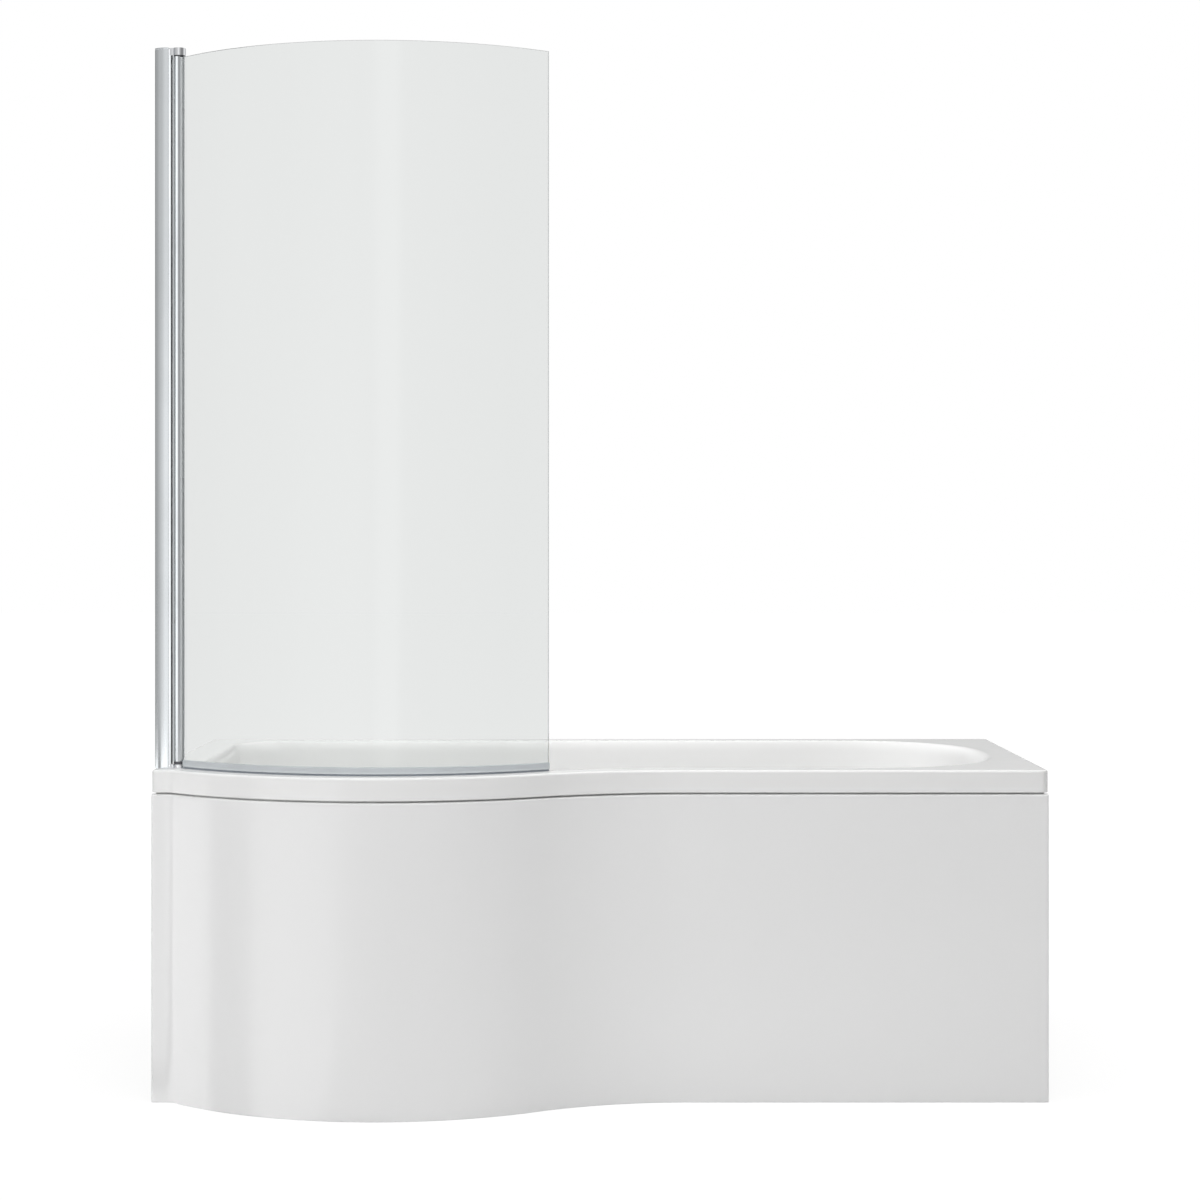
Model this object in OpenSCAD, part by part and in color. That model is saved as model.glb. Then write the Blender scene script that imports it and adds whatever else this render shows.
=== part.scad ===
// P-shaped shower bath with a bowed front panel, a leg set and a hinged, curved glass screen.
// Millimetres. +Z is up and the feet stand on Z = 0. The long straight back side faces +Y,
// the bowed front faces -Y, and the wide shower end is at -X against the end wall.

/* [Bath] */
// Length over the rim
bath_len = 1675; // [1600:5:1750]
// Width over the rim at the shower end
wide_w = 850; // [820:5:880]
// Width over the rim at the narrow end
narrow_w = 700; // [680:5:720]
// Height of the rim above the floor
rim_h = 620; // [600:5:640]
// Height of the outer lip of the rim
lip_h = 40; // [35:1:45]
// Rounding of the top edge of the rim
rim_r = 8; // [5:0.5:9]
// Rounding of the rim's corners in plan
corner_r = 14; // [11:1:18]
// Thickness of the shell
shell_t = 6; // [5:0.5:7]
// Depth of the basin at the waste
basin_depth = 426; // [410:2:430]
// Fall of the basin floor towards the waste, in each metre
floor_fall = 8; // [2:1:10]

/* [Front curve] */
// Distance of the bow's centre from the end wall
bow_x = 429.5; // [410:0.5:450]
// Radius of the bow
bow_r = 590; // [560:5:620]
// Distance along the front from the bow's centre to the start of the flat front
sweep_reach = 570; // [555:5:600]
// Distance along the front from the bow's centre back to the flat part by the end wall
flare_reach = 405; // [402:1:410]

/* [Basin] */
// Deck width at the front
deck_front = 46; // [44:1:54]
// Deck width at the back
deck_back = 42; // [42:1:54]
// Deck width at the shower end
deck_head = 66; // [60:1:76]
// Deck width at the narrow end
deck_foot = 56; // [50:1:66]
// How far the side walls lean in
side_lean = 97; // [90:1:110]
// How far the shower end wall leans in
head_lean = 95; // [85:1:110]
// How far the backrest leans in
back_lean = 390; // [350:5:420]
// Length of the rounded narrow end at the rim
end_len = 300; // [260:5:320]
// Length of the rounded narrow end at the floor
end_len_low = 190; // [150:5:200]
// Radius of the basin's corners at the shower end
basin_r = 118; // [90:1:125]

/* [Waste] */
// Distance of the waste from the end wall
waste_x = 277.5; // [265:0.5:290]
// Distance of the waste from the centre of the wide end, towards the back
waste_y = 50; // [30:1:70]
// Bore of the waste in the shell
waste_hole = 26; // [24:0.5:28]
// Radius of the waste flange
flange_r = 35; // [33:0.5:37]
// Radius of the threaded outlet
outlet_r = 23.9; // [23:0.1:24]
// Lift of the click plug
plug_lift = 8; // [6:1:9]
// Depth of the overflow's centre below the rim
overflow_drop = 82; // [76:1:90]
// Bore of the overflow in the shell
overflow_hole = 25; // [22:0.5:28]
// Outer radius of the overflow hose
hose_r = 14; // [12:0.5:15]
// Distance between the ribs of the hose
rib_pitch = 7; // [6:0.5:10]

/* [Legs] */
// Thickness of the base board
board_t = 18; // [15:1:19]
// Width of a leg bar
bar_w = 40; // [34:1:46]
// Height of a leg bar
bar_h = 22; // [18:1:26]
// Sheet thickness of a leg bar
bar_t = 2; // [1.5:0.5:2.5]
// Radius of a threaded leg stud
stud_r = 6; // [5:0.5:6]
// Radius of a foot pad
pad_r = 25; // [20:1:28]

/* [Panel] */
// Height of the front panel
panel_h = 575; // [565:1:576]
// Thickness of the front panel
panel_t = 4; // [3:0.5:5]
// How far the tongue stops short of the panel's ends
tongue_end = 7; // [5:1:12]

/* [Screen] */
// Height of the top of the screen above the floor
screen_top = 1975; // [1900:5:2020]
// Radius of the curved glass
glass_r = 545; // [535:1:550]
// Thickness of the glass
glass_t = 6; // [5:1:6]
// Distance of the glass's free edge from the end wall
glass_reach = 741.5; // [700:0.5:760]
// Distance of the hinge from the end wall
hinge_x = 45.5; // [44:0.5:48]
// Radius of the hinge tube
tube_r = 12; // [11.5:0.5:12.5]
// Height of the glass above the rim
glass_lift = 8; // [7:0.5:9]
// Height of the bottom seal
seal_h = 16; // [14:0.5:18]

/* [Hidden] */
$fn = 96;

// Edges of the rim
x_head = -bath_len / 2;
x_foot = bath_len / 2;
y_back = wide_w / 2;
y_bow = -wide_w / 2;
y_flat = y_back - narrow_w;
bow_depth = wide_w - narrow_w;

// Radii and centres of the three arcs of the front curve, and the angles where they meet
bow_cx = x_head + bow_x;
bow_cy = y_bow + bow_r;
sweep_r = pow(sweep_reach, 2) / (2 * bow_depth) + bow_depth / 2 - bow_r;
sweep_cx = bow_cx + sweep_reach;
sweep_cy = y_flat - sweep_r;
flare_r = pow(flare_reach, 2) / (2 * bow_depth) + bow_depth / 2 - bow_r;
flare_cx = bow_cx - flare_reach;
flare_cy = y_flat - flare_r;
a_left = atan2(flare_cy - bow_cy, flare_cx - bow_cx);
a_right = atan2(sweep_cy - bow_cy, sweep_cx - bow_cx);

// Points along each part of the shell's outline
n_bow = 24;
n_sweep = 10;
n_front = 3;
n_end_run = 7;
n_corner = 3;
n_foot = 10;
n_back = 5;
n_head_run = 3;
n_head = 3;
n_front_run = 2;
n_flare = 3;
n_roll = 3;
n_wall = 2;
n_cove = 6;

// Shape of the basin's wall
lip_in = 14;
roll_len = 25;
cove_len = 85;
wall_share = 0.62;
end_n = 2.4;
end_run_a = 44;
end_corner_a = 10;

// Levels
floor_z = rim_h - basin_depth;
under_z = floor_z - shell_t;
board_z = under_z - board_t;
bar_z = board_z - bar_h;
lip_z = rim_h - lip_h;
batten_top = rim_h - shell_t;

// Waste and overflow
wx = x_head + waste_x;
wy = waste_y;
flange_recess = 2.5;
flange_t = 2.5;
washer_t = 3;
seat_z = floor_z - flange_recess;
flange_z = seat_z + 1;
sleeve_r = 22;
stem_r = 5;
hub_r = 9;
body_top = under_z - washer_t;
inlet_z = body_top - 22;
sleeve_z = body_top - 38;
outlet_z = sleeve_z - 32;
plug_gap = 0.3;
plug_z = flange_z + flange_t + plug_gap + 1.5;
head_h = head_lean * wall_share;
head_lip = lip_in * 0.955;
head_tilt = atan2(head_h - head_lip, basin_depth);
head_turn = 0.5;
ox = x_head + deck_head + head_lip + overflow_drop * tan(head_tilt);
oz = rim_h - overflow_drop;
cup_z = -shell_t - 2.7;
tail_r = 10.5;
hose_x = ox - 33;
hose_top = oz - 42;
hose_bend = 112;
hose_end = wx - 52;

// Legs
bar_xs = [wx + 845, wx + 487, wx + 130];
bar_front = [-190, -190, -345];
bar_back = 345;
stud_in = 18;
board_head = wx + 92;
board_in = 18;
pad_t = 9;
nut_t = 8;
nut_af = 19;
web_z = board_z - bar_t;
stud_top = board_z + nut_t + 6;
screw_r = 2;
screw_depth = 14;

// Battens and panel
batten_w = 20;
batten_h = 24;
batten_in = 14;
front_batten_in = 18;
tongue_in = 9.5;
tongue_t = 3;
tongue_h = 29;
ledge_in = 14;
ledge_t = 4;
panel_return = 20;
clip_w = 40;
clip_t = 1.5;
clip_angles = [-118, -92, -70];
clip_xs = [sweep_cx + 120, sweep_cx + 340, x_foot - 90];
bracket_w = 40;
bracket_t = 2;
bracket_drop = 100;
bracket_hole = 3;

// Screen
glass_cx = bow_cx;
hinge_px = x_head + hinge_x;
glass_cy = y_bow + 33 + glass_r;
hinge_py = glass_cy - sqrt(pow(glass_r, 2) - pow(hinge_px - glass_cx, 2));
a_hinge = atan2(hinge_py - glass_cy, hinge_px - glass_cx);
a_free = -acos((x_head + glass_reach - glass_cx) / glass_r);
deg_per_mm = 180 / (PI * glass_r);
glass_z = rim_h + glass_lift;
glass_top = screen_top - 18;
seal_z = rim_h + 0.5;
lip_seal_h = 3.5;
gasket_t = 1;
slot_start = 6.5;
glass_start = 7.5;
tube_z = rim_h + 13;
tube_top = screen_top - 16;
block_low = 8;
block_top = 14;
pin_r = 4;
bush_bore = 4.08;
bush_r = 5;
channel_w = 27;
channel_d = 28;
channel_t = 2;
channel_r = 35;
channel_cy = hinge_py + 22.7;
channel_cx = x_head + 24.5;
channel_y0 = hinge_py - 12.3;
channel_y = channel_y0 + channel_d / 2;
cap_t = 3;
profile_t = 1.5;
profile_x = x_head + 31;
profile_start = 9;
hole_zs = [rim_h + 100, rim_h + 680, screen_top - 95];
fix_zs = [rim_h + 80, rim_h + 660, screen_top - 75];
wall_hole = 2.75;

white = [0.94, 0.94, 0.93];
timber = [0.78, 0.62, 0.42];
zinc = [0.66, 0.68, 0.7];
plastic = [0.2, 0.2, 0.21];
chrome = [0.8, 0.82, 0.84];
rubber = [0.12, 0.12, 0.13];

// Points on an arc, without its last one
function arc(cx, cy, r, a0, a1, n) =
    [for (i = [0:n - 1]) let (a = a0 + (a1 - a0) * i / n) [cx + r * cos(a), cy + r * sin(a)]];

// Points on a straight run, without its last one
function run(p, q, n) = [for (i = [0:n - 1]) p + (q - p) * i / n];

// Values spread evenly from a to b, without b
function spread(a, b, n) = [for (i = [0:n - 1]) a + (b - a) * i / n];

// Outer edge of the rim, set in by d, anticlockwise from the start of the bow
function rim_outline(d) =
    let (
        r = corner_r - d,
        xl = x_head + corner_r,
        xr = x_foot - corner_r,
        yf = y_flat + corner_r,
        yb = y_back - corner_r,
        ex = x_foot - deck_foot - end_len,
        hx = x_head + deck_head + basin_r
    )
    concat(
        arc(bow_cx, bow_cy, bow_r - d, a_left, a_right, n_bow),
        arc(sweep_cx, sweep_cy, sweep_r + d, a_right + 180, 90, n_sweep),
        run([sweep_cx, y_flat + d], [ex, y_flat + d], n_front),
        run([ex, y_flat + d], [xr, y_flat + d], n_end_run),
        arc(xr, yf, r, -90, 0, n_corner),
        run([x_foot - d, yf], [x_foot - d, yb], n_foot),
        arc(xr, yb, r, 0, 90, n_corner),
        run([xr, y_back - d], [ex, y_back - d], n_end_run),
        run([ex, y_back - d], [hx, y_back - d], n_back),
        run([hx, y_back - d], [xl, y_back - d], n_head_run),
        arc(xl, yb, r, 90, 180, n_corner),
        run([x_head + d, yb], [x_head + d, y_back - deck_back - basin_r], n_head_run),
        run([x_head + d, y_back - deck_back - basin_r], [x_head + d, yf + 90], n_head),
        run([x_head + d, yf + 90], [x_head + d, yf], n_front_run),
        arc(xl, yf, r, 180, 270, n_corner),
        run([xl, y_flat + d], [flare_cx, y_flat + d], 1),
        arc(flare_cx, flare_cy, flare_r + d, 90, a_left + 180, n_flare)
    );

// Angles along the rounded narrow end, closer together where the rim's corners are
function end_angles() =
    let (b = 90 - end_run_a, c = b - end_corner_a)
    concat(
        spread(-90, -b, n_end_run),
        spread(-b, -c, n_corner),
        spread(-c, c, n_foot),
        spread(c, b, n_corner),
        spread(b, 90, n_end_run)
    );

// Rounded narrow end as half a superellipse
function end_curve(ex, ey, ea, eb) =
    [for (a = end_angles())
        [ex + ea * pow(cos(a), 2 / end_n), ey + eb * sign(a) * pow(abs(sin(a)), 2 / end_n)]];

// Basin outline set in from the rim: f at the front, b at the back, h at the head, t at the foot
function basin_outline(f, b, h, t, ea) =
    let (
        xl = x_head + h,
        yf = y_flat + f,
        yb = y_back - b,
        br = bow_r - f,
        cx = xl + basin_r,
        cy = bow_cy - sqrt(pow(br - basin_r, 2) - pow(cx - bow_cx, 2)),
        a0 = atan2(cy - bow_cy, cx - bow_cx),
        ex = x_foot - t - ea
    )
    concat(
        arc(bow_cx, bow_cy, br, a0, a_right, n_bow),
        arc(sweep_cx, sweep_cy, sweep_r + f, a_right + 180, 90, n_sweep),
        run([sweep_cx, yf], [ex, yf], n_front),
        end_curve(ex, (yf + yb) / 2, ea, (yb - yf) / 2),
        run([ex, yb], [cx, yb], n_back),
        arc(cx, yb - basin_r, basin_r, 90, 180, 2 * n_head_run + n_corner),
        run([xl, yb - basin_r], [xl, cy], n_head),
        arc(cx, cy, basin_r, 180, a0 + 360, n_front_run + n_corner + 1 + n_flare)
    );

// Point on a curve with one corner point
function bend(p, q, r, u) = p * pow(1 - u, 2) + q * 2 * u * (1 - u) + r * pow(u, 2);

// Wall section: a roll at the deck, a straight slope and a cove into the floor
function wall_section(top, ca, cb, low) =
    let (v = (cb - ca) / norm(cb - ca), pa = ca + v * roll_len, pb = cb - v * cove_len)
    concat(
        [for (i = [0:n_roll - 1]) bend(top, ca, pa, i / n_roll)],
        [for (i = [0:n_wall - 1]) pa + (pb - pa) * i / n_wall],
        [for (i = [0:n_cove]) bend(pb, cb, low, i / n_cove)]
    );

// Height of the sloping basin floor
function floor_at(x) = floor_z + floor_fall * (x - wx) / 1000;

// Inner wall section for a wall that leans in by h down to the level z
function inner_section(h, z) =
    wall_section([0, rim_h], [lip_in, rim_h], [h * wall_share, z], [h, z]);

// The same wall from outside, one shell thickness away
function outer_section(h, z) =
    let (
        lean = atan2(h * wall_share - lip_in, rim_h - z),
        shift = shell_t * (1 / cos(lean) - tan(lean)),
        top = rim_h - shell_t,
        low = lip_in - shift + (top - under_z) * tan(lean)
    )
    wall_section([-shift, top], [lip_in - shift, top], [low, under_z], [h, under_z]);

function level_ring(pts, z) = [for (p = pts) [p[0], p[1], z]];

// Rings of the shell, from the basin floor over the rim and back under the floor
function shell_rings() =
    let (
        brim = basin_outline(deck_front, deck_back, deck_head, deck_foot, end_len),
        base = basin_outline(
            deck_front + side_lean, deck_back + side_lean, deck_head + head_lean,
            deck_foot + back_lean, end_len_low
        ),
        count = len(brim),
        lean = [for (i = [0:count - 1]) norm(base[i] - brim[i])],
        dir = [for (i = [0:count - 1]) (base[i] - brim[i]) / lean[i]],
        inner = [for (i = [0:count - 1]) inner_section(lean[i], floor_at(base[i][0]))],
        outer = [for (i = [0:count - 1]) outer_section(lean[i], floor_at(base[i][0]))],
        levels = len(inner[0]),
        ring = function (s, j) [for (i = [0:count - 1])
            let (p = brim[i] + dir[i] * s[i][j][0]) [p[0], p[1], s[i][j][1]]]
    )
    concat(
        [for (j = [levels - 1:-1:0]) ring(inner, j)],
        [for (a = [90, 60, 30, 0])
            level_ring(rim_outline(rim_r * (1 - cos(a))), rim_h - rim_r + rim_r * sin(a))],
        [level_ring(rim_outline(0), lip_z)],
        [level_ring(rim_outline(shell_t), lip_z)],
        [level_ring(rim_outline(shell_t), rim_h - shell_t)],
        [for (j = [0:levels - 1]) ring(outer, j)]
    );

// Triangles between neighbouring rings of n points
function side_faces(rings, n) =
    [for (k = [0:rings - 2], i = [0:n - 1], t = [0, 1])
        let (a = k * n + i, b = k * n + (i + 1) % n)
        t == 0 ? [a, b, b + n] : [a, b + n, a + n]];

// Closed skin through rings of equal count, each end closed round a middle point
module loft(rings, mid_a, mid_b) {
    n = len(rings[0]);
    k = len(rings);
    points = concat([for (r = rings) each r], [mid_a, mid_b]);
    faces = concat(
        side_faces(k, n),
        [for (i = [0:n - 1]) [(i + 1) % n, i, k * n]],
        [for (i = [0:n - 1]) [(k - 1) * n + i, (k - 1) * n + (i + 1) % n, k * n + 1]]
    );
    polyhedron(points = points, faces = faces);
}

// Closed tube skin: the last ring joins the first
module loop_loft(rings) {
    n = len(rings[0]);
    k = len(rings);
    points = [for (r = rings) each r];
    faces = concat(
        side_faces(k, n),
        [for (i = [0:n - 1], t = [0, 1])
            let (a = (k - 1) * n + i, b = (k - 1) * n + (i + 1) % n)
            t == 0 ? [a, b, (i + 1) % n] : [a, (i + 1) % n, i]]
    );
    polyhedron(points = points, faces = faces);
}

// Local frame of the overflow: +Z points into the basin, square to the leaning wall
module at_overflow() {
    translate([ox, wy, oz]) rotate([0, 0, head_turn]) rotate([0, 90 - head_tilt, 0]) children();
}

module ring(r_out, r_in, h) {
    difference() {
        cylinder(r = r_out, h = h);
        translate([0, 0, -1]) cylinder(r = r_in, h = h + 2);
    }
}

// Parts of the front curve. The children are a section: X is the inset, Y the height.
// Each arc is a full turn of the section, cut out between the centres of its neighbours.
module front_head(x0) {
    translate([x0, y_flat, 0]) rotate([90, 0, 90]) linear_extrude(flare_cx - x0) children();
}

module front_flare() {
    intersection() {
        translate([flare_cx, flare_cy, 0]) rotate_extrude() translate([flare_r, 0]) children();
        plan_wedge([[flare_cx, flare_cy], [bow_cx, bow_cy], [flare_cx, bow_cy]]);
    }
}

module front_bow(start) {
    intersection() {
        translate([bow_cx, bow_cy, 0]) rotate_extrude()
            translate([bow_r, 0]) mirror([1, 0]) children();
        plan_wedge([[bow_cx, bow_cy], start, [sweep_cx, sweep_cy]]);
    }
}

module front_sweep() {
    intersection() {
        translate([sweep_cx, sweep_cy, 0]) rotate_extrude() translate([sweep_r, 0]) children();
        plan_wedge([[sweep_cx, sweep_cy], [sweep_cx, bow_cy], [bow_cx, bow_cy]]);
    }
}

module front_flat(x1) {
    translate([sweep_cx, y_flat, 0]) rotate([90, 0, 90]) linear_extrude(x1 - sweep_cx) children();
}

module plan_wedge(corners) {
    translate([0, 0, -10]) linear_extrude(rim_h + 20) polygon(corners);
}

module bath_shell() {
    rings = shell_rings();
    mid = [bow_cx + 150, 40];
    color(white) difference() {
        loft(rings, [mid[0], mid[1], floor_at(mid[0])], [mid[0], mid[1], under_z]);
        translate([wx, wy, under_z - 5]) cylinder(r = waste_hole, h = 30);
        translate([wx, wy, seat_z]) cylinder(r = flange_r + 1, h = 30);
        at_overflow() translate([0, 0, -20]) cylinder(r = overflow_hole, h = 30);
    }
}

module base_board() {
    outline = basin_outline(
        deck_front + side_lean + board_in, deck_back + side_lean + board_in,
        deck_head + head_lean + board_in, deck_foot + back_lean + board_in, end_len_low - board_in
    );
    color(timber) difference() {
        translate([0, 0, board_z]) linear_extrude(board_t) polygon(outline);
        translate([x_head, y_bow, board_z - 1]) cube([board_head - x_head, wide_w, board_t + 2]);
        leg_screw_places() translate([0, 0, board_z - 1]) cylinder(r = screw_r, h = screw_depth + 1);
    }
}

module batten_back() {
    color(timber) translate([x_head + 50, y_back - batten_in - batten_w, batten_top - batten_h])
        cube([bath_len - 100, batten_w, batten_h]);
}

module batten_front() {
    color(timber) union() {
        front_bow([flare_cx + 60, flare_cy - 60]) batten_section();
        front_sweep() batten_section();
        front_flat(x_foot - 50) batten_section();
    }
}

module batten_section() {
    translate([front_batten_in, batten_top - batten_h]) square([batten_w, batten_h]);
}

module batten_foot() {
    color(timber) translate([x_foot - batten_in - batten_w, y_flat + 30, batten_top - batten_h])
        cube([batten_w, narrow_w - 75, batten_h]);
}

module batten_head() {
    color(timber) translate([x_head + batten_in, y_flat + 80, batten_top - batten_h])
        cube([batten_w, narrow_w - 125, batten_h]);
}

// Screw positions through the leg bars into the base board
module leg_screw_places() {
    for (x = bar_xs, y = [-40, 200])
        translate([x, y, 0]) children();
}

module stud_places(k) {
    for (y = [bar_front[k] + stud_in, bar_back - stud_in])
        translate([bar_xs[k], y, 0]) children();
}

module leg_bar(k) {
    color(zinc) difference() {
        translate([bar_xs[k] - bar_w / 2, bar_front[k], bar_z])
            cube([bar_w, bar_back - bar_front[k], bar_h]);
        translate([bar_xs[k] - bar_w / 2 + bar_t, bar_front[k] - 1, bar_z - 1])
            cube([bar_w - 2 * bar_t, bar_back - bar_front[k] + 2, bar_h - bar_t + 1]);
        stud_places(k) translate([0, 0, web_z - 1]) cylinder(r = stud_r, h = bar_t + 2);
        leg_screw_places() translate([0, 0, web_z - 1]) cylinder(r = screw_r, h = bar_t + 2);
    }
}

module leg_bar_foot() { leg_bar(0); }

module leg_bar_mid() { leg_bar(1); }

module leg_bar_head() { leg_bar(2); }

module leg_studs(k) {
    color(zinc) stud_places(k) translate([0, 0, pad_t]) cylinder(r = stud_r, h = stud_top - pad_t);
}

module leg_studs_foot() { leg_studs(0); }

module leg_studs_mid() { leg_studs(1); }

module leg_studs_head() { leg_studs(2); }

module hex_nut(af, bore, h) {
    difference() {
        cylinder(r = af / 2 / cos(30), h = h, $fn = 6);
        translate([0, 0, -1]) cylinder(r = bore, h = h + 2);
    }
}

// A nut above the bar, a nut below it and a nut down on the pad
module leg_nuts(k) {
    color(zinc) stud_places(k) {
        translate([0, 0, board_z]) hex_nut(nut_af, stud_r, nut_t);
        translate([0, 0, web_z - nut_t]) hex_nut(nut_af, stud_r, nut_t);
        translate([0, 0, pad_t + 13]) hex_nut(nut_af, stud_r, nut_t);
    }
}

module leg_nuts_foot() { leg_nuts(0); }

module leg_nuts_mid() { leg_nuts(1); }

module leg_nuts_head() { leg_nuts(2); }

// Foot pads: a flat disc with a socket for the stud
module leg_pads(k) {
    color(plastic) stud_places(k) rotate_extrude() polygon([
        [0, 0], [pad_r, 0], [pad_r, 4], [pad_r - 3, 7], [stud_r + 6, pad_t], [stud_r + 4, pad_t + 13],
        [stud_r, pad_t + 13], [stud_r, pad_t], [0, pad_t]
    ]);
}

module leg_pads_foot() { leg_pads(0); }

module leg_pads_mid() { leg_pads(1); }

module leg_pads_head() { leg_pads(2); }

module leg_screws() {
    color(zinc) leg_screw_places() {
        translate([0, 0, web_z - 3]) cylinder(r = 4.5, h = 3);
        translate([0, 0, web_z - 0.5]) cylinder(r = screw_r, h = bar_t + screw_depth + 0.5);
    }
}

// Local frames of the wall brackets: +Y points away from the wall
module at_bracket(k) {
    if (k == 0)
        translate([x_foot - 330, y_back, 0]) rotate([0, 0, 180]) children();
    else if (k == 1)
        translate([x_head + 420, y_back, 0]) rotate([0, 0, 180]) children();
    else
        translate([x_head, y_back - 165, 0]) rotate([0, 0, -90]) children();
}

// Cranked strap: a wall plate, a step under the lip and a riser on the batten
module wall_bracket(k) {
    z_low = rim_h - bracket_drop;
    z_step = lip_z - 20;
    color(zinc) at_bracket(k) difference() {
        translate([-bracket_w / 2, 0, 0]) union() {
            translate([0, 0, z_low]) cube([bracket_w, bracket_t, z_step - z_low]);
            translate([0, 0, z_step - bracket_t]) cube([bracket_w, batten_in, bracket_t]);
            translate([0, batten_in - bracket_t, z_step - bracket_t])
                cube([bracket_w, bracket_t, batten_top - 4 - z_step + bracket_t]);
        }
        translate([0, -1, z_low + 14]) rotate([-90, 0, 0]) cylinder(r = bracket_hole, h = 5);
        bracket_screw_places() translate([0, 0, -1]) cylinder(r = screw_r, h = 5);
    }
}

// Local frames of the two batten screws of a bracket: +Z runs into the batten
module bracket_screw_places() {
    for (x = [-12, 12])
        translate([x, batten_in - bracket_t, batten_top - 12]) rotate([-90, 0, 0]) children();
}

module wall_bracket_1() { wall_bracket(0); }

module wall_bracket_2() { wall_bracket(1); }

module wall_bracket_3() { wall_bracket(2); }

// Heads of the batten screws; their shanks run through the strap only
module bracket_screws() {
    color(zinc) for (k = [0:2]) at_bracket(k) bracket_screw_places() {
        translate([0, 0, -2]) cylinder(r = 4, h = 2);
        translate([0, 0, -0.5]) cylinder(r = screw_r, h = bracket_t + 0.5);
    }
}

// Skin with a rounded top edge, a ledge behind it and a folded foot
module panel_section() {
    round = [for (i = [0:5]) let (a = 180 - 18 * i)
        [panel_t + panel_t * cos(a), panel_h - panel_t + panel_t * sin(a)]];
    polygon(concat(
        [[panel_return, 0], [0, 0]], round,
        [[ledge_in, panel_h], [ledge_in, panel_h - ledge_t], [panel_t, panel_h - ledge_t],
        [panel_t, panel_t], [panel_return, panel_t]]
    ));
}

// Tongue that stands up behind the lip of the rim
module tongue_section() {
    translate([tongue_in, panel_h - ledge_t / 2]) square([tongue_t, tongue_h + ledge_t / 2]);
}

module front_panel() {
    start = [flare_cx, flare_cy];
    color(white) union() {
        front_head(x_head) panel_section();
        front_flare() panel_section();
        front_bow(start) panel_section();
        front_sweep() panel_section();
        front_flat(x_foot) panel_section();
        front_head(x_head + tongue_end) tongue_section();
        front_flare() tongue_section();
        front_bow(start) tongue_section();
        front_sweep() tongue_section();
        front_flat(x_foot - tongue_end) tongue_section();
        for (x = [x_head, x_foot - panel_t])
            translate([x, y_flat + panel_t / 2, panel_t / 2])
                cube([panel_t, panel_return - panel_t, panel_h - panel_t - ledge_t]);
    }
}

// Spring clips between the tongue and the front batten
module panel_clips() {
    color(zinc) {
        for (a = clip_angles)
            translate([bow_cx, bow_cy, 0]) rotate([0, 0, a]) translate([0, -clip_w / 2, 0])
                clip_plate(bow_r - front_batten_in + 0.05);
        for (x = clip_xs)
            translate([x, y_flat + front_batten_in - 0.05, 0]) rotate([0, 0, -90])
                translate([0, -clip_w / 2, 0]) clip_plate(0);
    }
}

module clip_plate(r) {
    translate([r, 0, batten_top - batten_h - 8]) cube([clip_t, clip_w, batten_h + 4]);
    translate([r, 6, batten_top - batten_h - 8]) cube([clip_t + 3.5, clip_w - 12, 6]);
}

module floor_batten() {
    color(timber) translate([sweep_cx + 30, y_flat + panel_return, 0])
        cube([x_foot - sweep_cx - 90, 25, 38]);
}

// Turned flange, sleeve and hub of the waste
module waste_flange() {
    hub_z = body_top - 24;
    color(chrome) translate([wx, wy, 0]) difference() {
        union() {
            rotate_extrude() polygon([
                [sleeve_r, flange_z + flange_t], [flange_r - 2, flange_z + flange_t],
                [flange_r, flange_z + 0.6], [flange_r, flange_z], [sleeve_r + 2, flange_z],
                [sleeve_r + 2, sleeve_z], [sleeve_r, sleeve_z]
            ]);
            translate([0, 0, hub_z]) cylinder(r = hub_r, h = 14);
            for (a = [0, 120, 240]) rotate([0, 0, a + 30])
                translate([0, -1.5, hub_z]) cube([sleeve_r + 1, 3, 6]);
        }
        translate([0, 0, hub_z - 1]) cylinder(r = stem_r + 0.05, h = 16);
        translate([0, 0, inlet_z]) rotate([0, -90, 0]) cylinder(r = 8, h = 40);
    }
}

module waste_gasket() {
    color(rubber) translate([wx, wy, seat_z]) ring(flange_r - 2, sleeve_r + 2, 1);
}

module waste_washer() {
    color(rubber) translate([wx, wy, body_top]) ring(sleeve_r + 14, sleeve_r + 2, washer_t);
}

// Cup under the floor, with the overflow's inlet at the side and the outlet below
module waste_body() {
    r = sleeve_r + 2;
    color(plastic) translate([wx, wy, 0]) difference() {
        union() {
            translate([0, 0, body_top - 4]) cylinder(r = sleeve_r + 14, h = 4);
            translate([0, 0, sleeve_z - 8]) cylinder(r = r + 4, h = body_top - sleeve_z + 6);
            translate([0, 0, outlet_z]) cylinder(r = outlet_r, h = sleeve_z - outlet_z);
            translate([0, 0, inlet_z]) rotate([0, -90, 0]) cylinder(r = tail_r, h = 64);
        }
        translate([0, 0, sleeve_z]) cylinder(r = r, h = 60);
        translate([0, 0, outlet_z - 1]) cylinder(r = outlet_r - 3, h = 60);
        translate([-15, 0, inlet_z]) rotate([0, -90, 0]) cylinder(r = tail_r - 2.5, h = 60);
    }
}

// Domed cover with a slot along its lower edge
module overflow_cover() {
    color(chrome) at_overflow() difference() {
        rotate_extrude() polygon([
            [0, 9], [30, 9], [33.5, 7.5], [35, 4], [35, 1.2], [0, 1.2]
        ]);
        translate([0, 0, -1]) cylinder(r = 26, h = 8);
        translate([8, -14, -1]) cube([40, 28, 5.5]);
    }
}

module overflow_gasket() {
    color(rubber) at_overflow() ring(34, overflow_hole + 2, 1.2);
}

module overflow_washer() {
    color(rubber) at_overflow() translate([0, 0, cup_z]) ring(33, overflow_hole - 3, 2.5);
}

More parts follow.
